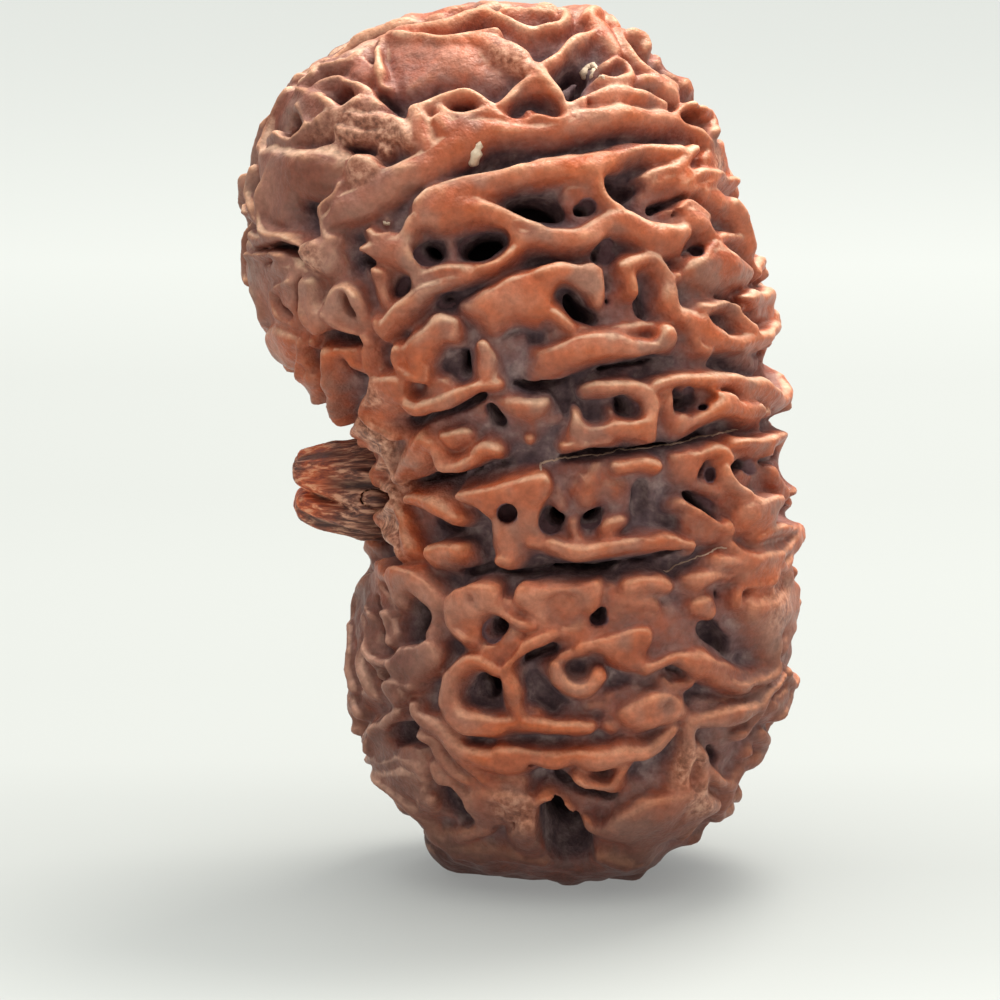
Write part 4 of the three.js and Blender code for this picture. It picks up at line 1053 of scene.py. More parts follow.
# Ridges that run across the two narrow edges, from the front half into the far half.
rng = np.random.default_rng(11)
edge_raised = []
for around_ in (0.0, 180.0):
    turn_ = -1.0 if around_ == 0 else 1.0
    for face in range(8):
        for j in range(3):
            n = 11
            reach = np.linspace(rng.uniform(0, 6), rng.uniform(30, 44), n)
            bend = 0.10 * np.sin(np.linspace(0, 2.6, n) * rng.uniform(0.6, 1.5) + rng.uniform(0, 6))
            t = np.clip(face + (j + 0.5) / 3 + rng.uniform(-0.07, 0.07) + bend, face + 0.1, face + 0.9)
            p3 = spot(np.clip(t, 0.1, 7.9), around_ + turn_ * reach)
            width = rng.uniform(0.22, 0.40) * (0.75 + 0.4 * np.sin(np.linspace(0.2, 3.0, n)))
            top = -0.16 + 0.10 * np.sin(np.linspace(0, 5, n) + rng.uniform(0, 6))
            edge_raised.append((dict(kind="ridge", top=0.0, knots=(), r=0.22, draft=0.2, wrap=0, dish=0.0, k=0.3), p3, width, top))
        for j in range(2):
            n = 5
            t = face + np.linspace(rng.uniform(0.15, 0.35), rng.uniform(0.65, 0.85), n)
            across_ = rng.uniform(6, 34) + np.linspace(-3, 3, n) * rng.uniform(-1, 1)
            p3 = spot(np.clip(t, 0.1, 7.9), around_ + turn_ * across_)
            edge_raised.append((dict(kind="ridge", top=0.0, knots=(), r=0.22, draft=0.2, wrap=0, dish=0.0, k=0.3), p3, np.full(n, rng.uniform(0.25, 0.45)), np.full(n, rng.uniform(-0.35, -0.15))))


def make(item):
    f, p3, width, top = item
    if f["kind"] == "plate":
        return f, shape_plate(f, p3, top)
    return f, shape_line(f, p3, width, top)


base_z = np.clip((axes_f[2] - 0.8) / 2.4, 0, 1)[None, None, :] ** 1.2
ground = (A + 0.24 + base_z * (1.33 + 0.36 * noise(1.1, 31)) + 0.17 * noise(0.5, 32)).astype(np.float32)
ground -= 0.7 * (np.clip((axes_f[2] - 26.5) / 3.0, 0, 1)[None, None, :] * np.clip((axes_f[1] - 0.6) / 1.4, 0, 1)[None, :, None]).astype(np.float32)
F = np.full(ground.shape, 4.0, np.float32)
RIM = np.zeros(F.shape, np.float32)


def carve(items, keep=None):
    global F
    with ThreadPoolExecutor(4) as pool:
        for f, made in pool.map(make, items):
            if made is None:
                continue
            b, v, rim = made
            if keep is not None:
                v = v + keep[b]
            if f["kind"] == "cut":
                RIM[b] = np.where(-v > F[b], 0, RIM[b])
                F[b] = -smin(-F[b], v, f["k"])
            else:
                RIM[b] = np.where(v < F[b], rim, RIM[b])
                F[b] = smin(F[b], v, f["k"])


feet = [p for p in placed if p[0].get("wrap") == 2]
placed = [p for p in placed if p[0].get("wrap") != 2]
front_raised = [p for p in placed if p[0]["kind"] != "cut"]
front_cut = [p for p in placed if p[0]["kind"] == "cut"]
back_raised = [p for p in back if p[0]["kind"] != "cut"]
back_cut = [p for p in back if p[0]["kind"] == "cut"]
# Back features fade out where the surface is in the front half.
seam_y = S[..., 1] + 0.5 * noise(1.6, 21)
fade = np.clip((0.2 - seam_y) / 2.2, 0, 1) * 3.0 + np.clip((-0.5 - S[..., 1]) / 0.8, 0, 1) * 3.0
carve(back_raised, fade)
front_fade = np.clip((seam_y - 2.2) / 2.4, 0, 1) * 3.0
far_fade = np.clip((seam_y - 5.2) / 1.5, 0, 1) * 3.0
carve(edge_raised)
carve(feet)
carve([q for q in front_raised if not q[0].get("wrap")], front_fade)
carve([q for q in front_raised if q[0].get("wrap")], far_fade)
# the sides of the ridges run out softly into the ground of the furrows
RIM[ground < F] = 0
F = smin(F, ground, 0.8)
del ground
carve(back_cut, fade)
carve(front_cut, front_fade)
del fade, front_fade, far_fade, seam_y

# The hollow that the stalk stands in.
P = np.stack(np.meshgrid(*[a.astype(np.float32) for a in axes_f], indexing="ij"), -1)
rel = P - STALK_TIP.astype(np.float32)
along = rel @ STALK_DIR.astype(np.float32)
off = np.sqrt(np.maximum((rel**2).sum(-1) - along**2, 0))
hole = rounded(off - 1.62 - 0.32 * np.clip(along + STALK_LENGTH - 1.6, 0, 2.2), -(along + STALK_LENGTH + 0.1), 0.3)
F = -smin(-F, hole.astype(np.float32), 0.2)
del rel, off, along, hole

F += 0.05 * noise(0.5, 41) + 0.028 * noise(0.26, 42)
# fine wrinkles along the ridges
F += 0.06 * noise((1.3, 0.6, 0.3), 43) + 0.035 * noise((0.7, 0.4, 0.22), 44)


def corky(at, radius, amount, seed):
    """A rough, crumbly patch on the surface around a pixel."""
    global F
    s, _ = on_form(unproject(np.array([at[0]]), np.array([at[1]]), np.array([0.0])))
    b = box_of(s, radius)
    if all(q.stop > q.start for q in b):
        d = np.sqrt(((P[b] - s[0].astype(np.float32)) ** 2).sum(-1))
        rough = np.abs(noise(0.24, seed)[b]) - 0.4 + 0.5 * noise(0.5, seed + 1)[b]
        F[b] += amount * rough * np.clip(1.6 * (1 - d / radius), 0, 1)


corky((352, 128), 1.6, 0.17, 61)
corky((385, 138), 1.3, 0.2, 61)
corky((320, 138), 1.1, 0.11, 61)
corky((515, 52), 1.5, 0.17, 61)
corky((785, 610), 1.8, 0.10, 61)
corky((512, 815), 1.4, 0.12, 61)
corky((400, 525), 1.0, 0.10, 61)
corky((495, 800), 1.3, 0.13, 61)
corky((470, 775), 1.2, 0.08, 61)
corky((665, 815), 1.8, 0.05, 61)
corky((560, 610), 1.0, 0.07, 61)
corky((430, 440), 0.9, 0.08, 61)
corky((300, 180), 1.8, 0.05, 61)
# gaps between the ridges on the far edge, as deep as the outline shows them: (x, y, half width, half height)
for x, y, rx, ry in ((803, 462, 25, 26), (806, 514, 22, 9), (795, 422, 24, 10), (694, 60, 32, 18), (690, 864, 29, 18), (352, 562, 19, 13)):
    ray = LOOK + RIGHT * ((x - 500) / FOCAL) + UP * ((500 - y) / FOCAL)
    ray /= np.linalg.norm(ray)
    s3 = EYE + ray * ((-6.0 - EYE[1]) / ray[1])
    b = box_of(np.stack([s3, s3 + ray * 15.0]), max(rx, ry) * PX + 0.5)
    rel = P[b] - s3.astype(np.float32)
    rel = rel - (rel @ ray.astype(np.float32))[..., None] * ray.astype(np.float32)
    d = np.sqrt((rel @ RIGHT.astype(np.float32) / (rx * PX)) ** 2 + (rel @ UP.astype(np.float32) / (ry * PX)) ** 2) - 1
    F[b] = -smin(-F[b], (d * min(rx, ry) * PX).astype(np.float32), 0.25)
wobble = 0.07 * noise(0.45, 91)
for x, y, rx, ry, turn, depth in bores:
    s3 = unproject(np.array([x]), np.array([y]), np.array([0.0]))[0]
    ray = LOOK + RIGHT * ((x - 500) / FOCAL) + UP * ((500 - y) / FOCAL)
    ray /= np.linalg.norm(ray)
    b = box_of(np.stack([s3 - ray, s3 + ray * (depth + 0.3)]), max(rx, ry) * PX + 0.5)
    rel = P[b] - s3.astype(np.float32)
    across, rise = rel @ RIGHT.astype(np.float32), rel @ UP.astype(np.float32)
    c, q = math.cos(math.radians(turn)), math.sin(math.radians(turn))
    d = np.sqrt(((c * across + q * rise) / (rx * PX)) ** 2 + ((c * rise - q * across) / (ry * PX)) ** 2) - 1
    d = np.maximum(d * min(rx, ry) * PX, rel @ ray.astype(np.float32) - depth) + wobble[b]
    RIM[b] = np.where(-d > F[b] + 0.02, -1, RIM[b])
    F[b] = -smin(-F[b], d.astype(np.float32), 0.06)
del wobble
for k in range(3):
    G = F.copy()
    lead = [slice(None)] * 3
    mid, lo, hi = list(lead), list(lead), list(lead)
    mid[k], lo[k], hi[k] = slice(1, -1), slice(0, -2), slice(2, None)
    F[tuple(mid)] = 0.5 * G[tuple(mid)] + 0.25 * (G[tuple(lo)] + G[tuple(hi)])
del G
F = np.maximum(F, -P[..., 2])
F = np.clip(F, -0.6, 0.6)

grid = vdb.FloatGrid(0.6)
grid.copyFromArray(F)
verts, quads = grid.convertToQuads(0.0)
verts = np.asarray(verts) * VOXEL + origin_f
quads = np.asarray(quads)


def largest(n, faces):
    """Faces of the biggest connected part, by spreading the lowest vertex label."""
    label = np.arange(n)
    while True:
        low = label[faces].min(1)
        new = label.copy()
        for k in range(faces.shape[1]):
            np.minimum.at(new, faces[:, k], low)
        new = new[new]
        if (new == label).all():
            break
        label = new
    ids, count = np.unique(label[faces[:, 0]], return_counts=True)
    return label[faces[:, 0]] == ids[count.argmax()]


keep = largest(len(verts), quads)
quads = quads[keep]
used = np.unique(quads)
index = np.zeros(len(verts), int)
index[used] = np.arange(len(used))
verts, quads = verts[used], index[quads]


def new_mesh(name, points, faces):
    me = bpy.data.meshes.new(name)
    me.vertices.add(len(points))
    me.vertices.foreach_set("co", (points * 0.001).astype(np.float32).ravel())
    size = faces.shape[1]
    me.loops.add(faces.size)
    me.loops.foreach_set("vertex_index", faces.astype(np.int32).ravel())
    me.polygons.add(len(faces))
    me.polygons.foreach_set("loop_start", np.arange(0, faces.size, size, dtype=np.int32))
    me.polygons.foreach_set("loop_total", np.full(len(faces), size, np.int32))
    me.update(calc_edges=True)
    me.validate()
    me.shade_smooth()
    ob = bpy.data.objects.new(name, me)
    bpy.context.scene.collection.objects.link(ob)
    return ob


def volume(points, faces):
    a, b, c, d = (points[faces[:, k]] for k in range(4))
    return (np.einsum("ij,ij->i", a, np.cross(b, c)) + np.einsum("ij,ij->i", a, np.cross(c, d))).sum() / 6


if volume(verts, quads) < 0:
    quads = quads[:, ::-1]

stone = new_mesh("rudraksha_stone", verts, quads)


def reduce(ob, most, held=None):
    """Fewer triangles. held: vertices that stay as they are."""
    size = np.zeros(len(ob.data.polygons), np.int32)
    ob.data.polygons.foreach_get("loop_total", size)
    count = int((size - 2).sum())
    print(ob.name, "triangles", count)
    if count > most:
        mod = ob.modifiers.new("fewer", "DECIMATE")
        mod.ratio = most / count
        mod.use_collapse_triangulate = True
        if held is not None:
            group = ob.vertex_groups.new(name="free")
            group.add(np.nonzero(~held)[0].tolist(), 1.0, "REPLACE")
            mod.vertex_group, mod.vertex_group_factor = "free", 1e-9
        dg = bpy.context.evaluated_depsgraph_get()
        me = bpy.data.meshes.new_from_object(ob.evaluated_get(dg))
        ob.modifiers.clear()
        ob.data = me
        ob.vertex_groups.clear()
    ob.data.shade_smooth()


def in_front(ob):
    """Vertices of the half that the camera sees, and the triangles there and in all."""
    c = np.zeros(len(ob.data.vertices) * 3, np.float32)
    ob.data.vertices.foreach_get("co", c)
    near = c[1::3] < 0.0009
    first = np.zeros(len(ob.data.polygons), np.int32)
    size = first.copy()
    start = first.copy()
    ob.data.polygons.foreach_get("loop_start", start)
    ob.data.polygons.foreach_get("loop_total", size)
    corner = np.zeros(len(ob.data.loops), np.int32)
    ob.data.loops.foreach_get("vertex_index", corner)
    return near, int(((size - 2) * near[corner[start]]).sum()), int((size - 2).sum())


# the side that the camera sees keeps the smaller triangles
near, front_count, all_count = in_front(stone)
reduce(stone, front_count + 56000, near)
near, front_count, all_count = in_front(stone)
reduce(stone, 194500, ~near)
print("front", in_front(stone)[1:])

# ------------------------------------------------------------------ suture lines and shreds that lie on the surface
def strand(tree, knots):
    """A closed, tapered strand along a line of pixels, half sunk in the surface that the camera sees there."""
    c = thick(knots, 3.0)
    chance = np.random.default_rng(int(knots[0][0] * 7 + knots[0][1]))
    c[:, 1] += chance.normal(0, 0.45, len(c))
    c[:, 2] *= chance.uniform(0.6, 1.35, len(c))
    start = Vector(EYE * 0.001)
    ray = LOOK + RIGHT * ((c[:, 0:1] - 500) / FOCAL) + UP * ((500 - c[:, 1:2]) / FOCAL)
    ray /= np.linalg.norm(ray, axis=1)[:, None]
    far = np.array([tree.ray_cast(start, Vector(q))[3] or np.nan for q in ray]) * 1000
    good = ~np.isnan(far)
    c, ray, far = c[good], ray[good], far[good]
    soft = np.convolve(np.pad(far, 2, mode="edge"), np.ones(5) / 5, "valid")
    at = EYE + ray * (np.minimum(far, soft + 0.1) + 0.01)[:, None]
    radius = np.maximum(c[:, 2], 0.7) * PX
    radius[[0, -1]] *= 0.4
    ahead = np.gradient(at, axis=0)
    ahead /= np.linalg.norm(ahead, axis=1)[:, None]
    side = np.cross(ahead, LOOK)
    side /= np.linalg.norm(side, axis=1)[:, None]
    other = np.cross(ahead, side)
    n, m = len(at), 6
    turn = np.arange(m) * 2 * math.pi / m
    rings = at[:, None] + radius[:, None, None] * (np.cos(turn)[None, :, None] * side[:, None] + np.sin(turn)[None, :, None] * other[:, None])
    p = np.concatenate([rings.reshape(-1, 3), at[:1] - ahead[:1] * radius[0], at[-1:] + ahead[-1:] * radius[-1]])
    i, j = np.meshgrid(np.arange(n - 1), np.arange(m), indexing="ij")
    a, b = i * m + j, i * m + (j + 1) % m
    t = [np.stack([a, b, b + m], -1).reshape(-1, 3), np.stack([a, b + m, a + m], -1).reshape(-1, 3)]
    k = np.arange(m)
    t.append(np.stack([(k + 1) % m, k, 0 * k + n * m], -1))
    t.append(np.stack([(n - 1) * m + k, (n - 1) * m + (k + 1) % m, 0 * k + n * m + 1], -1))
    t = np.concatenate(t)
    q = p[t] - at.mean(0)
    if np.einsum("ij,ij->i", q[:, 0], np.cross(q[:, 1], q[:, 2])).sum() < 0:
        t = t[:, ::-1]
    return p, t


surface = BVHTree.FromObject(stone, bpy.context.evaluated_depsgraph_get())
body_p = np.zeros(len(stone.data.vertices) * 3, np.float32)
stone.data.vertices.foreach_get("co", body_p)
body_t = np.zeros(len(stone.data.loops), np.int32)
stone.data.loops.foreach_get("vertex_index", body_t)
all_p, all_t = [body_p.reshape(-1, 3).astype(float) * 1000], [body_t.reshape(-1, 3)]
marks = [np.zeros(len(all_p[0]))]
for mark, knots in strands:
    sp_, st_ = strand(surface, knots)
    all_t.append(st_ + sum(len(q) for q in all_p))
    all_p.append(sp_)
    marks.append(np.full(len(sp_), mark))
bpy.data.objects.remove(stone)
stone = new_mesh("rudraksha_stone", np.concatenate(all_p), np.concatenate(all_t))
marks = np.concatenate(marks)

# ------------------------------------------------------------------ how deep and how hollow each point is
small = F[::2, ::2, ::2] if VOXEL < 0.12 else F


def blur(f, times):
    for _ in range(times):
        for k in range(3):
            g = np.pad(f, [(1, 1) if q == k else (0, 0) for q in range(3)], mode="edge")
            n = f.shape[k]
            f = (0.25 * np.take(g, range(0, n), k) + 0.5 * np.take(g, range(1, n + 1), k) + 0.25 * np.take(g, range(2, n + 2), k)).astype(np.float32)
    return f


step_s = VOXEL * 2 if VOXEL < 0.12 else VOXEL
near_blur = blur(small, 2)
far_blur = blur(near_blur, 14)
co = np.zeros(len(stone.data.vertices) * 3, np.float32)
stone.data.vertices.foreach_get("co", co)
co = co.reshape(-1, 3) * 1000
height = sample(coarse_a, co)
edge = sample(near_blur, co, origin_f, step_s)
open_ = sample(far_blur, co, origin_f, step_s)
rim_at = sample(RIM, co, origin_f, VOXEL)
rim_at = np.where(marks > 0, 1 + marks, rim_at)
cork = np.zeros(len(co))
for (x, y), radius, amount in (((352, 128), 1.5, 0.6), ((385, 136), 1.3, 0.8), ((320, 136), 1.0, 0.4), ((515, 52), 1.5, 0.6), ((360, 170), 0.8, 0.5),
                               ((312, 256), 0.8, 0.6), ((690, 768), 1.1, 0.6), ((705, 800), 1.0, 0.5), ((785, 600), 1.4, 0.45), ((386, 520), 1.5, 0.9),
                               ((374, 440), 1.4, 0.8), ((368, 395), 0.8, 0.6), ((388, 480), 1.4, 0.9), ((398, 545), 0.9, 0.6), ((724, 165), 0.9, 0.6), ((512, 812), 1.2, 0.4)):
    s3, _ = on_form(unproject(np.array([x]), np.array([y]), np.array([0.0])))
    cork = np.maximum(cork, amount * np.clip(1.7 * (1 - np.sqrt(((co - s3[0]) ** 2).sum(1)) / radius), 0, 1))
for name, values in (("height", height), ("edge", edge), ("open", open_), ("rim", rim_at), ("cork", cork)):
    at = stone.data.attributes.new(name, "FLOAT", "POINT")
    at.data.foreach_set("value", np.asarray(values, np.float32))
front = np.zeros(len(stone.data.polygons) * 3, np.float32)
stone.data.polygons.foreach_get("center", front)
print("front share", float((front[1::3] < 0).mean()), "rim", np.percentile(rim_at, [50, 80, 95]).round(2))
print("stone", len(stone.data.vertices), len(stone.data.polygons), "height", np.percentile(height, [1, 10, 50, 90, 99]).round(2),
      "edge", np.percentile(edge, [1, 10, 50, 90, 99]).round(3), "open", np.percentile(open_, [1, 10, 50, 90, 99]).round(3))

# ------------------------------------------------------------------ materials
def linear(r, g, b):
    return tuple(((c / 255 + 0.055) / 1.055) ** 2.4 if c > 10.3 else c / 255 / 12.92 for c in (r, g, b)) + (1.0,)


class Tree:
    def __init__(self, name):
        self.material = bpy.data.materials.new(name)
        self.material.use_nodes = True
        self.tree = self.material.node_tree
        self.tree.nodes.clear()

    def node(self, kind, **values):
        n = self.tree.nodes.new(kind)
        for key, value in values.items():
            if isinstance(value, tuple) and len(value) == 2 and hasattr(value[0], "outputs"):
                self.tree.links.new(value[0].outputs[value[1]], n.inputs[key.replace("_", " ")])
            elif key.replace("_", " ") in n.inputs:
                n.inputs[key.replace("_", " ")].default_value = value
            else:
                setattr(n, key, value)
        return n

    def link(self, a, out, b, into):
        self.tree.links.new(a.outputs[out], b.inputs[into])

    def attribute(self, name):
        n = self.tree.nodes.new("ShaderNodeAttribute")
        n.attribute_name = name
        return n

    def ramp(self, source, out, stops):
        n = self.tree.nodes.new("ShaderNodeValToRGB")
        e = n.color_ramp.elements
        while len(e) > 1:
            e.remove(e[-1])
        e[0].position, e[0].color = stops[0]
        for pos, colour in stops[1:]:
            e.new(pos).color = colour
        self.link(source, out, n, 0)
        return n

    def range(self, source, out, a, b, c=0.0, d=1.0):
        n = self.tree.nodes.new("ShaderNodeMapRange")
        n.inputs["From Min"].default_value, n.inputs["From Max"].default_value = a, b
        n.inputs["To Min"].default_value, n.inputs["To Max"].default_value = c, d
        self.link(source, out, n, "Value")
        return n

    def mix(self, factor, a, b, blend="MIX"):
        n = self.tree.nodes.new("ShaderNodeMix")
        n.data_type, n.blend_type = "RGBA", blend
        for value, socket in ((factor, 0), (a, 6), (b, 7)):
            if isinstance(value, tuple) and hasattr(value[0], "outputs"):
                self.tree.links.new(value[0].outputs[value[1]], n.inputs[socket])
            else:
                n.inputs[socket].default_value = value
        return n

    def math(self, op, a, b=0.0, clamp=False):
        n = self.tree.nodes.new("ShaderNodeMath")
        n.operation, n.use_clamp = op, clamp
        for value, socket in ((a, 0), (b, 1)):
            if isinstance(value, tuple):
                self.tree.links.new(value[0].outputs[value[1]], n.inputs[socket])
            else:
                n.inputs[socket].default_value = value
        return n

    def noise(self, scale, detail=3.0, rough=0.5, distort=0.0):
        n = self.tree.nodes.new("ShaderNodeTexNoise")
        n.inputs["Scale"].default_value = scale
        n.inputs["Detail"].default_value = detail
        n.inputs["Roughness"].default_value = rough
        n.inputs["Distortion"].default_value = distort
        self.link(self.coords(), "Object", n, "Vector")
        return n

    def coords(self):
        if not hasattr(self, "_coords"):
            self._coords = self.tree.nodes.new("ShaderNodeTexCoord")
        return self._coords


def stone_material():
    m = Tree("seed_stone_skin")
    depth, edge, open_ = m.attribute("height"), m.attribute("edge"), m.attribute("open")
    patches = m.noise(330, 4, 0.55)
    spots = m.noise(1500, 3, 0.6)
    fine = m.noise(3600, 4, 0.62)
    grain = m.noise(11000, 3, 0.6)
    at = m.tree.nodes.new("ShaderNodeSeparateXYZ")
    m.link(m.coords(), "Object", at, 0)
    # clean, oily orange-brown ridges; a dusty, duller skin low down, and a duller, darker skin on the big lobe above
    # the stalk that is partly painted shade
    fresh = m.ramp(patches, "Fac", [(0.32, linear(168, 82, 54)), (0.5, linear(202, 109, 75)), (0.66, linear(222, 140, 108))])
    dull = m.ramp(patches, "Fac", [(0.32, linear(117, 74, 64)), (0.5, linear(148, 98, 85)), (0.68, linear(186, 131, 112))])
    low_end = m.range(at, "Z", 0.0050, 0.0028)
    left = m.range(at, "X", -0.0035, -0.0085)
    high = m.range(at, "Z", 0.0190, 0.0230)
    lobe = m.math("MULTIPLY", (left, 0), (high, 0))
    area_ = m.math("MAXIMUM", (low_end, 0), (lobe, 0))
    # the lower lobe under the stalk and the lower far edge are dull too
    heel_x, heel_z = m.range(at, "X", -0.0030, -0.0056), m.range(at, "Z", 0.0125, 0.0105)
    heel = m.math("MULTIPLY", (heel_x, 0), (heel_z, 0))
    area_ = m.math("MAXIMUM", (area_, 0), (heel, 0))
    heel_shade = m.math("MULTIPLY", (heel, 0), 0.5)
    edge_x, edge_z = m.range(at, "X", 0.0040, 0.0068), m.range(at, "Z", 0.0120, 0.0095)
    far_edge = m.math("MULTIPLY", (edge_x, 0), (edge_z, 0))
    area_ = m.math("MAXIMUM", (area_, 0), (far_edge, 0))
    shift = m.range(patches, "Fac", 0.35, 0.65, -0.25, 0.3)
    dulled = m.math("ADD", (area_, 0), (shift, 0), True)
    body = m.mix((dulled, 0), (fresh, 0), (dull, 0))
    # some ridges are a strong orange, others carry a film of dust
    bands = m.noise(520, 2, 0.5)
    strong = m.range(bands, "Fac", 0.53, 0.66, 0.0, 0.6)
    strong = m.math("SUBTRACT", (strong, 0), (dulled, 0), True)
    body = m.mix((strong, 0), (body, 2), linear(208, 98, 50))
    dusty = m.range(bands, "Fac", 0.47, 0.35, 0.0, 0.6)
    body = m.mix((dusty, 0), (body, 2), linear(150, 116, 104))
    # painted shade: the lower lobe under the stalk is darkened
    body = m.mix((heel_shade, 0), (body, 2), linear(106, 67, 60))
    # painted shade: the lowest part of the seed, where the contact shadow falls, is darker
    foot_shadow = m.range(at, "Z", 0.0034, 0.0008, 0.0, 0.85)
    body = m.mix((foot_shadow, 0), (body, 2), linear(66, 46, 46))
    # the walls of the ridges turn a darker red or grey-brown further down
    wall = m.range(depth, "Fac", -0.10, -0.42)
    wall_amount = m.math("MULTIPLY", (wall, 0), 0.6)
    wall_skin = m.ramp(spots, "Fac", [(0.38, linear(151, 78, 60)), (0.6, linear(123, 85, 80))])
    body = m.mix((wall_amount, 0), (body, 2), (wall_skin, 0))
    # dusty hollows, partly grey dust and partly painted shade that darkens the deep and hollow places
    hollow_dust_and_shade = m.ramp(spots, "Fac", [(0.35, linear(96, 76, 82)), (0.52, linear(126, 102, 104)), (0.7, linear(168, 144, 140))])
    deep = m.range(depth, "Fac", -0.42, -1.05)
    hollow = m.range(open_, "Fac", -0.08, -0.24)
    both = m.math("MAXIMUM", (deep, 0), (hollow, 0), True)
    # less dust and painted shade in the shallow faces of the far edge
    side_x, side_y = m.range(at, "X", 0.0050, 0.0070), m.range(at, "Y", -0.0028, -0.0010)
    side = m.math("MULTIPLY", (side_x, 0), (side_y, 0))
    side = m.math("MULTIPLY", (side, 0), -0.45)
    side = m.math("ADD", (side, 0), 1.0)
    both = m.math("MULTIPLY", (both, 0), (side, 0))
    body = m.mix((both, 0), (body, 2), (hollow_dust_and_shade, 0))
    # painted shade: the deepest pits are near black
    pit_shade = m.range(depth, "Fac", -2.0, -2.7)
    body = m.mix((pit_shade, 0), (body, 2), linear(44, 34, 40))
    # paler rims: partly wear, partly painted highlight where they catch the light
    rim_marks = m.attribute("rim")
    # edges are paler where they face upwards: wear, and painted highlight from the light above
    facing = m.tree.nodes.new("ShaderNodeNewGeometry")
    tilt = m.tree.nodes.new("ShaderNodeSeparateXYZ")
    m.link(facing, "Normal", tilt, 0)
    upward = m.range(tilt, "Z", -0.05, 0.6, 0.08, 1.0)
    # lower down the edges are pale all round: wear, and painted highlight from the light off the floor
    around = m.range(at, "Z", 0.0170, 0.0110, 0.0, 0.3)
    upward = m.math("MAXIMUM", (upward, 0), (around, 0))
    # the edges of the lower lobe under the stalk get the painted highlight all round
    heel_edge_highlight = m.math("MULTIPLY", (heel, 0), 0.7)
    upward = m.math("MAXIMUM", (upward, 0), (heel_edge_highlight, 0))
    high_up = m.range(depth, "Fac", -0.8, -0.2)
    convex = m.range(edge, "Fac", 0.04, 0.12, 0.0, 0.68)
    edge_wear_and_highlight = m.math("MULTIPLY", (convex, 0), (upward, 0))
    edge_wear_and_highlight = m.math("MULTIPLY", (edge_wear_and_highlight, 0), (high_up, 0))
    # rubbed pale at the upper end, polished orange lower down; the pale edges are also a painted highlight
    lower_down = m.range(at, "Z", 0.0185, 0.0120)
    polish_and_highlight = m.mix((lower_down, 0), linear(240, 178, 138), linear(218, 128, 86))
    polish_and_highlight = m.mix((heel, 0), (polish_and_highlight, 2), linear(214, 156, 132))
    body = m.mix((edge_wear_and_highlight, 0), (body, 2), (polish_and_highlight, 2))
    # painted highlight, with some wear, in patches along the upper rims of the ridges
    rim = m.range(rim_marks, "Fac", 0.45, 0.95, 0.0, 0.85)
    rim2 = m.math("MULTIPLY", (rim, 0), (high_up, 0))
    rim2 = m.math("MULTIPLY", (rim2, 0), (upward, 0))
    patchy = m.range(spots, "Fac", 0.32, 0.6, 0.45, 1.0)
    rim_highlight_amount = m.math("MULTIPLY", (rim2, 0), (patchy, 0), True)
    rim_highlight = m.mix((lower_down, 0), linear(250, 204, 170), linear(236, 164, 126))
    rim_highlight = m.mix((heel, 0), (rim_highlight, 2), linear(238, 186, 160))
    body = m.mix((rim_highlight_amount, 0), (body, 2), (rim_highlight, 2))
    # painted shade on faces that look downwards, a deeper red-brown
    underside_shade = m.range(tilt, "Z", -0.05, -0.75, 0.0, 0.4)
    underside_shade = m.math("MULTIPLY", (underside_shade, 0), (high_up, 0))
    body = m.mix((underside_shade, 0), (body, 2), linear(122, 61, 48))
    # pale, corky skin
    corky_ = m.attribute("cork")
    cork_skin = m.ramp(fine, "Fac", [(0.36, linear(112, 74, 62)), (0.48, linear(182, 124, 100)), (0.64, linear(228, 178, 150))])
    cork_amount = m.math("MULTIPLY", (corky_, "Fac"), (high_up, 0))
    body = m.mix((cork_amount, 0), (body, 2), (cork_skin, 0))
    bored = m.range(rim_marks, "Fac", -0.5, -0.95)
    body = m.mix((bored, 0), (body, 2), linear(142, 108, 112))
    tint = m.range(fine, "Fac", 0.3, 0.7, 0.78, 1.16)
    body = m.mix(1.0, (body, 2), (tint, 0), "MULTIPLY")
    suture = m.range(rim_marks, "Fac", 1.3, 1.9)
    body = m.mix((suture, 0), (body, 2), linear(204, 170, 148))
    shred = m.range(rim_marks, "Fac", 2.3, 2.9)
    body = m.mix((shred, 0), (body, 2), linear(232, 208, 180))
    shader = m.node("ShaderNodeBsdfPrincipled")
    m.link(body, 2, shader, "Base Color")
    rough = m.range(both, 0, 0.0, 1.0, 0.40, 0.82)
    rough2 = m.range(spots, "Fac", 0.3, 0.7, -0.08, 0.10)
    rough3 = m.math("MULTIPLY", (area_, 0), 0.08)
    rsum = m.math("ADD", (rough, 0), (rough2, 0))
    rsum = m.math("ADD", (rsum, 0), (rough3, 0), True)
    m.link(rsum, 0, shader, "Roughness")
    shader.inputs["Specular IOR Level"].default_value = 0.4
    shader.inputs["Specular Tint"].default_value = (1.0, 0.80, 0.62, 1)
    previous = None
    for source, strength, distance in ((spots, 0.6, 0.00022), (fine, 0.55, 0.0001), (grain, 0.25, 0.00002)):
        bump = m.node("ShaderNodeBump")
        bump.inputs["Strength"].default_value = strength
        bump.inputs["Distance"].default_value = distance
        m.link(source, "Fac", bump, "Height")
        if previous:
            m.link(previous, "Normal", bump, "Normal")
        previous = bump
    m.link(previous, "Normal", shader, "Normal")
    out = m.node("ShaderNodeOutputMaterial")
    m.link(shader, "BSDF", out, "Surface")
    return m.material


stone.data.materials.clear()
stone.data.materials.append(stone_material())
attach(stone, "root")
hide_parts("seed_stone")

# ------------------------------------------------------------------ the stalk stub
STALK_VOXEL = 0.05


def lattice(size, seed):
    return np.random.default_rng(seed).uniform(-1, 1, size).astype(np.float32)


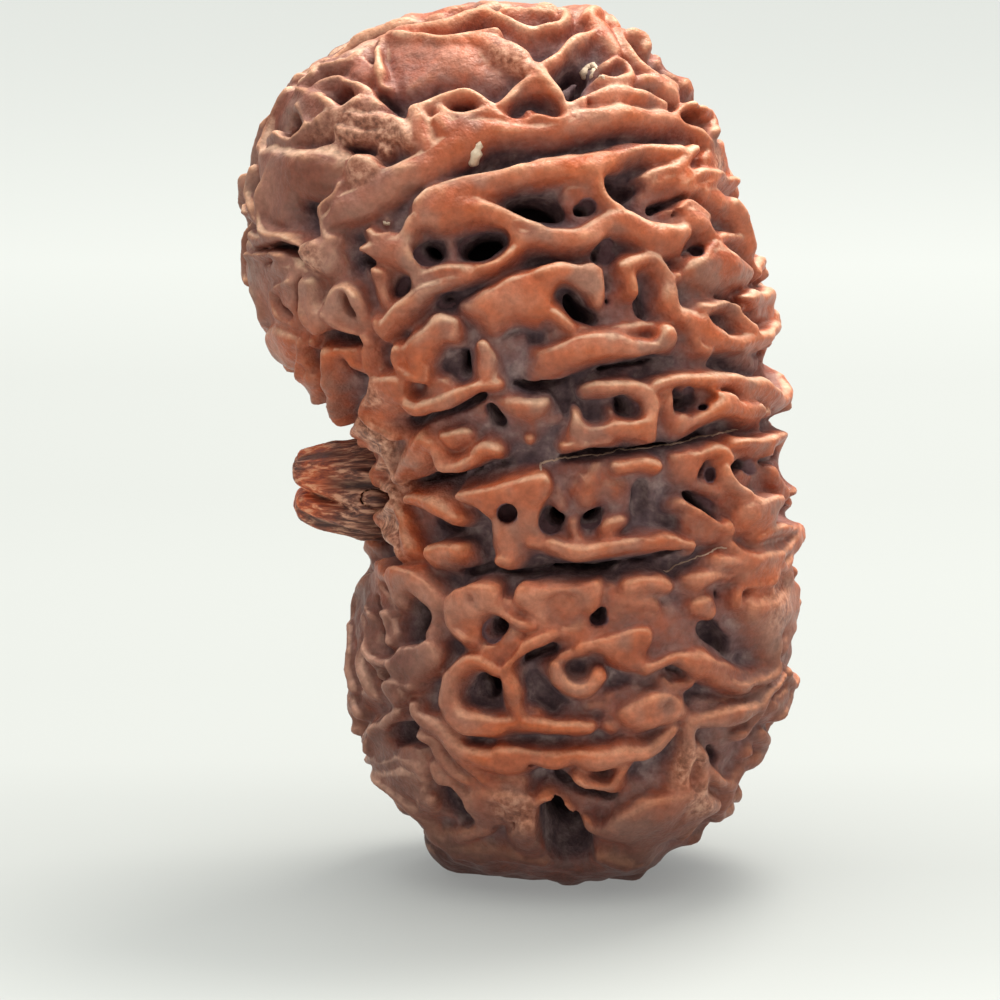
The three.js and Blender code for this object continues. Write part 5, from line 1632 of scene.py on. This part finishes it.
def waves(field, *at):
    """Cubic B-spline value of a small random lattice that wraps round in its first axis."""
    out = 0
    idx = [np.floor(a).astype(int) for a in at]
    frac = [a - i for a, i in zip(at, idx)]
    weights = [((1 - t) ** 3 / 6, (3 * t**3 - 6 * t**2 + 4) / 6, (-3 * t**3 + 3 * t**2 + 3 * t + 1) / 6, t**3 / 6) for t in frac]
    for i in range(4):
        for j in range(4):
            a = (idx[0] + i - 1) % field.shape[0]
            b = np.clip(idx[1] + j - 1, 0, field.shape[1] - 1)
            out = out + weights[0][i] * weights[1][j] * field[a, b]
    return out * 1.6


def stalk_mesh():
    n = [int(7.2 / STALK_VOXEL), int(4.8 / STALK_VOXEL), int(4.8 / STALK_VOXEL)]
    u, v, w = np.meshgrid(np.arange(n[0]) * STALK_VOXEL - 0.2, np.arange(n[1]) * STALK_VOXEL - 2.4, np.arange(n[2]) * STALK_VOXEL - 2.4, indexing="ij")
    theta = np.arctan2(w, v)  # 0 is up, negative towards the front
    r = np.sqrt(v**2 + w**2) + 1e-6
    turn = theta / (2 * math.pi)
    # fibres: narrow across, long along, drifting a little
    drift = 0.035 * waves(lattice((6, 8), 71), turn * 6, u / 1.6)
    fibre = waves(lattice((38, 12), 72), (turn + drift) * 38, u / 1.5)
    hair = waves(lattice((90, 16), 73), (turn + drift * 1.4) * 90, u / 1.1)
    bundle = waves(lattice((11, 7), 74), (turn + 0.5 * drift) * 11, u / 2.6)
    size = curve([1.36, 1.36, 1.38, 1.5, 1.78, 1.98, 1.9, 1.72, 1.55, 1.28, 0.98], np.clip(u, 0, 6.3) / 0.63)
    free = np.clip((u - 1.2) / 1.4, 0, 1)
    radius = size + free * (0.12 * bundle - 0.21 * np.abs(fibre) + 0.09 - 0.11 * np.abs(hair))
    # two lobes at the torn end, with a cleft between them that runs back along the front
    cleft = np.exp(-(((v + 0.16 + 0.10 * (6.2 - u)) / 0.13) ** 2)) * np.clip((u - 3.6) / 1.2, 0, 1)
    radius = radius - 0.5 * cleft
    # the lower side is flatter towards the stone
    radius = radius - 0.33 * np.clip(-v / r, 0, 1) ** 2 * np.exp(-(((u - 3.2) / 1.2) ** 2))
    ragged = waves(lattice((9, 9), 75), (v + 2.4) / 0.45, (w + 2.4) / 0.45)
    end = 6.12 + 0.14 * np.tanh(v * 3) + 0.12 * ragged - 0.34 * np.exp(-(((v + 0.18) / 0.22) ** 2)) - 0.20 * np.clip(r - 0.9, 0, 1) ** 2
    d = rounded(r - radius, u - end, 0.22)
    d = np.maximum(d, 0.02 - u)
    # the oval knot on the side that faces the camera
    ku, kv, kw = u - 3.02, v - 0.10, w + 1.72
    knot = (np.sqrt((ku / 0.62) ** 2 + (kv / 0.36) ** 2 + (kw / 0.34) ** 2) - 1) * 0.34
    d = smin(np.maximum(d, -(knot - 0.035)), knot + 0.01, 0.06)
    g = vdb.FloatGrid(0.4)
    g.copyFromArray(np.clip(d, -0.4, 0.4).astype(np.float32))
    p, q = g.convertToQuads(0.0)
    p = np.asarray(p) * STALK_VOXEL - np.array([0.2, 2.4, 2.4])
    q = np.asarray(q)
    good = largest(len(p), q)
    q = q[good]
    used = np.unique(q)
    back_ = np.zeros(len(p), int)
    back_[used] = np.arange(len(used))
    p, q = p[used], back_[q]
    base = STALK_TIP - STALK_DIR * STALK_LENGTH
    side = np.array([0.0, 1.0, 0.0])
    upward = np.cross(side, -STALK_DIR)
    upward = upward if upward[2] > 0 else -upward
    world_p = base + p[:, :1] * STALK_DIR + p[:, 1:2] * upward + p[:, 2:] * side
    if volume(world_p, q) < 0:
        q = q[:, ::-1]
    groove = -0.115 * np.abs(waves(lattice((38, 12), 72), (np.arctan2(p[:, 2], p[:, 1]) / (2 * math.pi) + 0.035 * waves(lattice((6, 8), 71), np.arctan2(p[:, 2], p[:, 1]) / (2 * math.pi) * 6, p[:, 0] / 1.6)) * 38, p[:, 0] / 1.5))
    return world_p, q, p[:, 0], groove


sp, sq, along_u, groove = stalk_mesh()
stalk = new_mesh("stalk_fibres", sp, sq)
for name, values in (("along", along_u), ("groove", groove)):
    att = stalk.data.attributes.new(name, "FLOAT", "POINT")
    att.data.foreach_set("value", np.asarray(values, np.float32))
reduce(stalk, 110000)
print("stalk", len(stalk.data.polygons))


def stalk_material():
    m = Tree("stalk_fibre_skin")
    along_a, groove_a = m.attribute("along"), m.attribute("groove")
    mapping = m.tree.nodes.new("ShaderNodeMapping")
    mapping.inputs["Rotation"].default_value = (0, math.atan2(0.165, 0.986), 0)
    mapping.inputs["Scale"].default_value = (0.11, 1.0, 1.0)
    m.link(m.coords(), "Object", mapping, "Vector")
    threads = m.noise(6500, 3, 0.62)
    m.link(mapping, "Vector", threads, "Vector")
    patches = m.noise(900, 3, 0.5)
    brown = m.ramp(threads, "Fac", [(0.38, linear(84, 48, 40)), (0.5, linear(146, 90, 70)), (0.62, linear(222, 166, 136))])
    tip = m.ramp(threads, "Fac", [(0.36, linear(150, 62, 36)), (0.52, linear(214, 106, 62)), (0.66, linear(244, 172, 130))])
    near_tip = m.range(along_a, "Fac", 4.1, 5.3)
    patch = m.range(patches, "Fac", 0.38, 0.52)
    orange = m.math("MULTIPLY", (near_tip, 0), (patch, 0), True)
    body = m.mix((orange, 0), (brown, 0), (tip, 0))
    # painted shade in the grooves between the fibres
    groove_shade = m.range(groove_a, "Fac", -0.06, -0.11, 0.0, 0.8)
    groove_shade_amount = m.math("SUBTRACT", (groove_shade, 0), 0.0, True)
    body = m.mix((groove_shade_amount, 0), (body, 2), linear(58, 34, 30))
    # painted shade where the stalk sits down in its hollow
    inside = m.range(along_a, "Fac", 3.6, 2.6, 0.0, 0.3)
    body = m.mix((inside, 0), (body, 2), linear(62, 42, 40))
    shader = m.node("ShaderNodeBsdfPrincipled")
    m.link(body, 2, shader, "Base Color")
    rough = m.range(threads, "Fac", 0.3, 0.7, 0.5, 0.75)
    m.link(rough, 0, shader, "Roughness")
    bump = m.node("ShaderNodeBump")
    bump.inputs["Strength"].default_value = 0.8
    bump.inputs["Distance"].default_value = 0.00008
    m.link(threads, "Fac", bump, "Height")
    m.link(bump, "Normal", shader, "Normal")
    out = m.node("ShaderNodeOutputMaterial")
    m.link(shader, "BSDF", out, "Surface")
    return m.material


stalk.data.materials.clear()
stalk.data.materials.append(stalk_material())
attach(stalk, "root")
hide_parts("stalk_stub")

# ------------------------------------------------------------------ floor, light, camera
def floor_material():
    m = Tree("pale_floor")
    shader = m.node("ShaderNodeBsdfPrincipled")
    # painted shadow and light: the floor is a little greyer where the seed stands and whiter in front of it and behind
    # it
    where = m.tree.nodes.new("ShaderNodeSeparateXYZ")
    m.link(m.coords(), "Object", where, 0)
    far = m.range(where, "Y", -0.03, 0.17)
    stops = [(0.02, 1.36), (0.045, 1.12), (0.09, 1.02), (0.15, 0.95), (0.205, 0.98), (0.24, 1.02), (0.32, 1.0), (0.43, 1.0), (0.55, 0.98), (0.75, 1.01), (1.0, 1.14)]
    floor_shade_ramp = m.ramp(far, 0, [(at, (v * 0.8, v * 0.8, v * 0.8, 1.0)) for at, v in stops])
    skin = m.mix(1.0, linear(156, 158, 153), (floor_shade_ramp, 0), "MULTIPLY")
    m.link(skin, 2, shader, "Base Color")
    shader.inputs["Roughness"].default_value = 0.6
    # the floor glows a little, painted light that keeps the shadow pale
    floor_glow = m.mix(1.0, (0.96, 0.985, 0.965, 1), (floor_shade_ramp, 0), "MULTIPLY")
    m.link(floor_glow, 2, shader, "Emission Color")
    shader.inputs["Emission Strength"].default_value = 0.325
    shader.inputs["Specular IOR Level"].default_value = 0.25
    out = m.node("ShaderNodeOutputMaterial")
    m.link(shader, "BSDF", out, "Surface")
    return m.material


me = bpy.data.meshes.new("floor")
s = 1.2
me.from_pydata([(-s, -s, 0), (s, -s, 0), (s, s, 0), (-s, s, 0)], [], [(0, 1, 2, 3)])
floor = bpy.data.objects.new("floor", me)
bpy.context.scene.collection.objects.link(floor)
me.materials.append(floor_material())
floor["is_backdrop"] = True

world = bpy.data.worlds.new("soft_white")
bpy.context.scene.world = world
world.use_nodes = True
wt = world.node_tree
sky = wt.nodes["Background"]
where = wt.nodes.new("ShaderNodeTexCoord")
dot = wt.nodes.new("ShaderNodeVectorMath")
dot.operation = "DOT_PRODUCT"
dot.inputs[1].default_value = (0.06, 0.08, 0.995)
wt.links.new(where.outputs["Generated"], dot.inputs[0])
up = wt.nodes.new("ShaderNodeMath")
up.operation, up.use_clamp = "MAXIMUM", True
up.inputs[1].default_value = 0.0
wt.links.new(dot.outputs["Value"], up.inputs[0])
power = wt.nodes.new("ShaderNodeMath")
power.operation = "POWER"
power.inputs[1].default_value = SKY_POWER
wt.links.new(up.outputs[0], power.inputs[0])
scale = wt.nodes.new("ShaderNodeMath")
scale.operation = "MULTIPLY_ADD"
scale.inputs[1].default_value, scale.inputs[2].default_value = SKY_TOP, SKY_BASE
wt.links.new(power.outputs[0], scale.inputs[0])
wt.links.new(scale.outputs[0], sky.inputs["Strength"])
sky.inputs["Color"].default_value = (0.985, 1.0, 0.985, 1)


def area(name, at, aim, size, power, colour=(1, 1, 1)):
    data = bpy.data.lights.new(name, "AREA")
    data.shape = "RECTANGLE"
    data.size, data.size_y = size
    data.energy = power
    data.color = colour
    ob = bpy.data.objects.new(name, data)
    bpy.context.scene.collection.objects.link(ob)
    ob.location = at
    ob.rotation_euler = (Vector(aim) - Vector(at)).to_track_quat("-Z", "Y").to_euler()
    return ob


area("overhead", (0.06, 0.09, 0.23), (-0.002, 0, 0.016), (0.10, 0.10), 0.55, (1.0, 0.98, 0.95))

camera = bpy.data.cameras.new("camera")
camera.sensor_width = 36
camera.lens = FOCAL * 36 / 1000
camera.clip_start, camera.clip_end = 0.01, 20
cam = bpy.data.objects.new("camera", camera)
bpy.context.scene.collection.objects.link(cam)
cam.location = tuple(EYE * 0.001)
cam.rotation_euler = (math.pi / 2 - ELEVATION, 0, 0)
bpy.context.scene.camera = cam
bpy.context.scene.view_settings.view_transform = "Standard"

lo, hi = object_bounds()
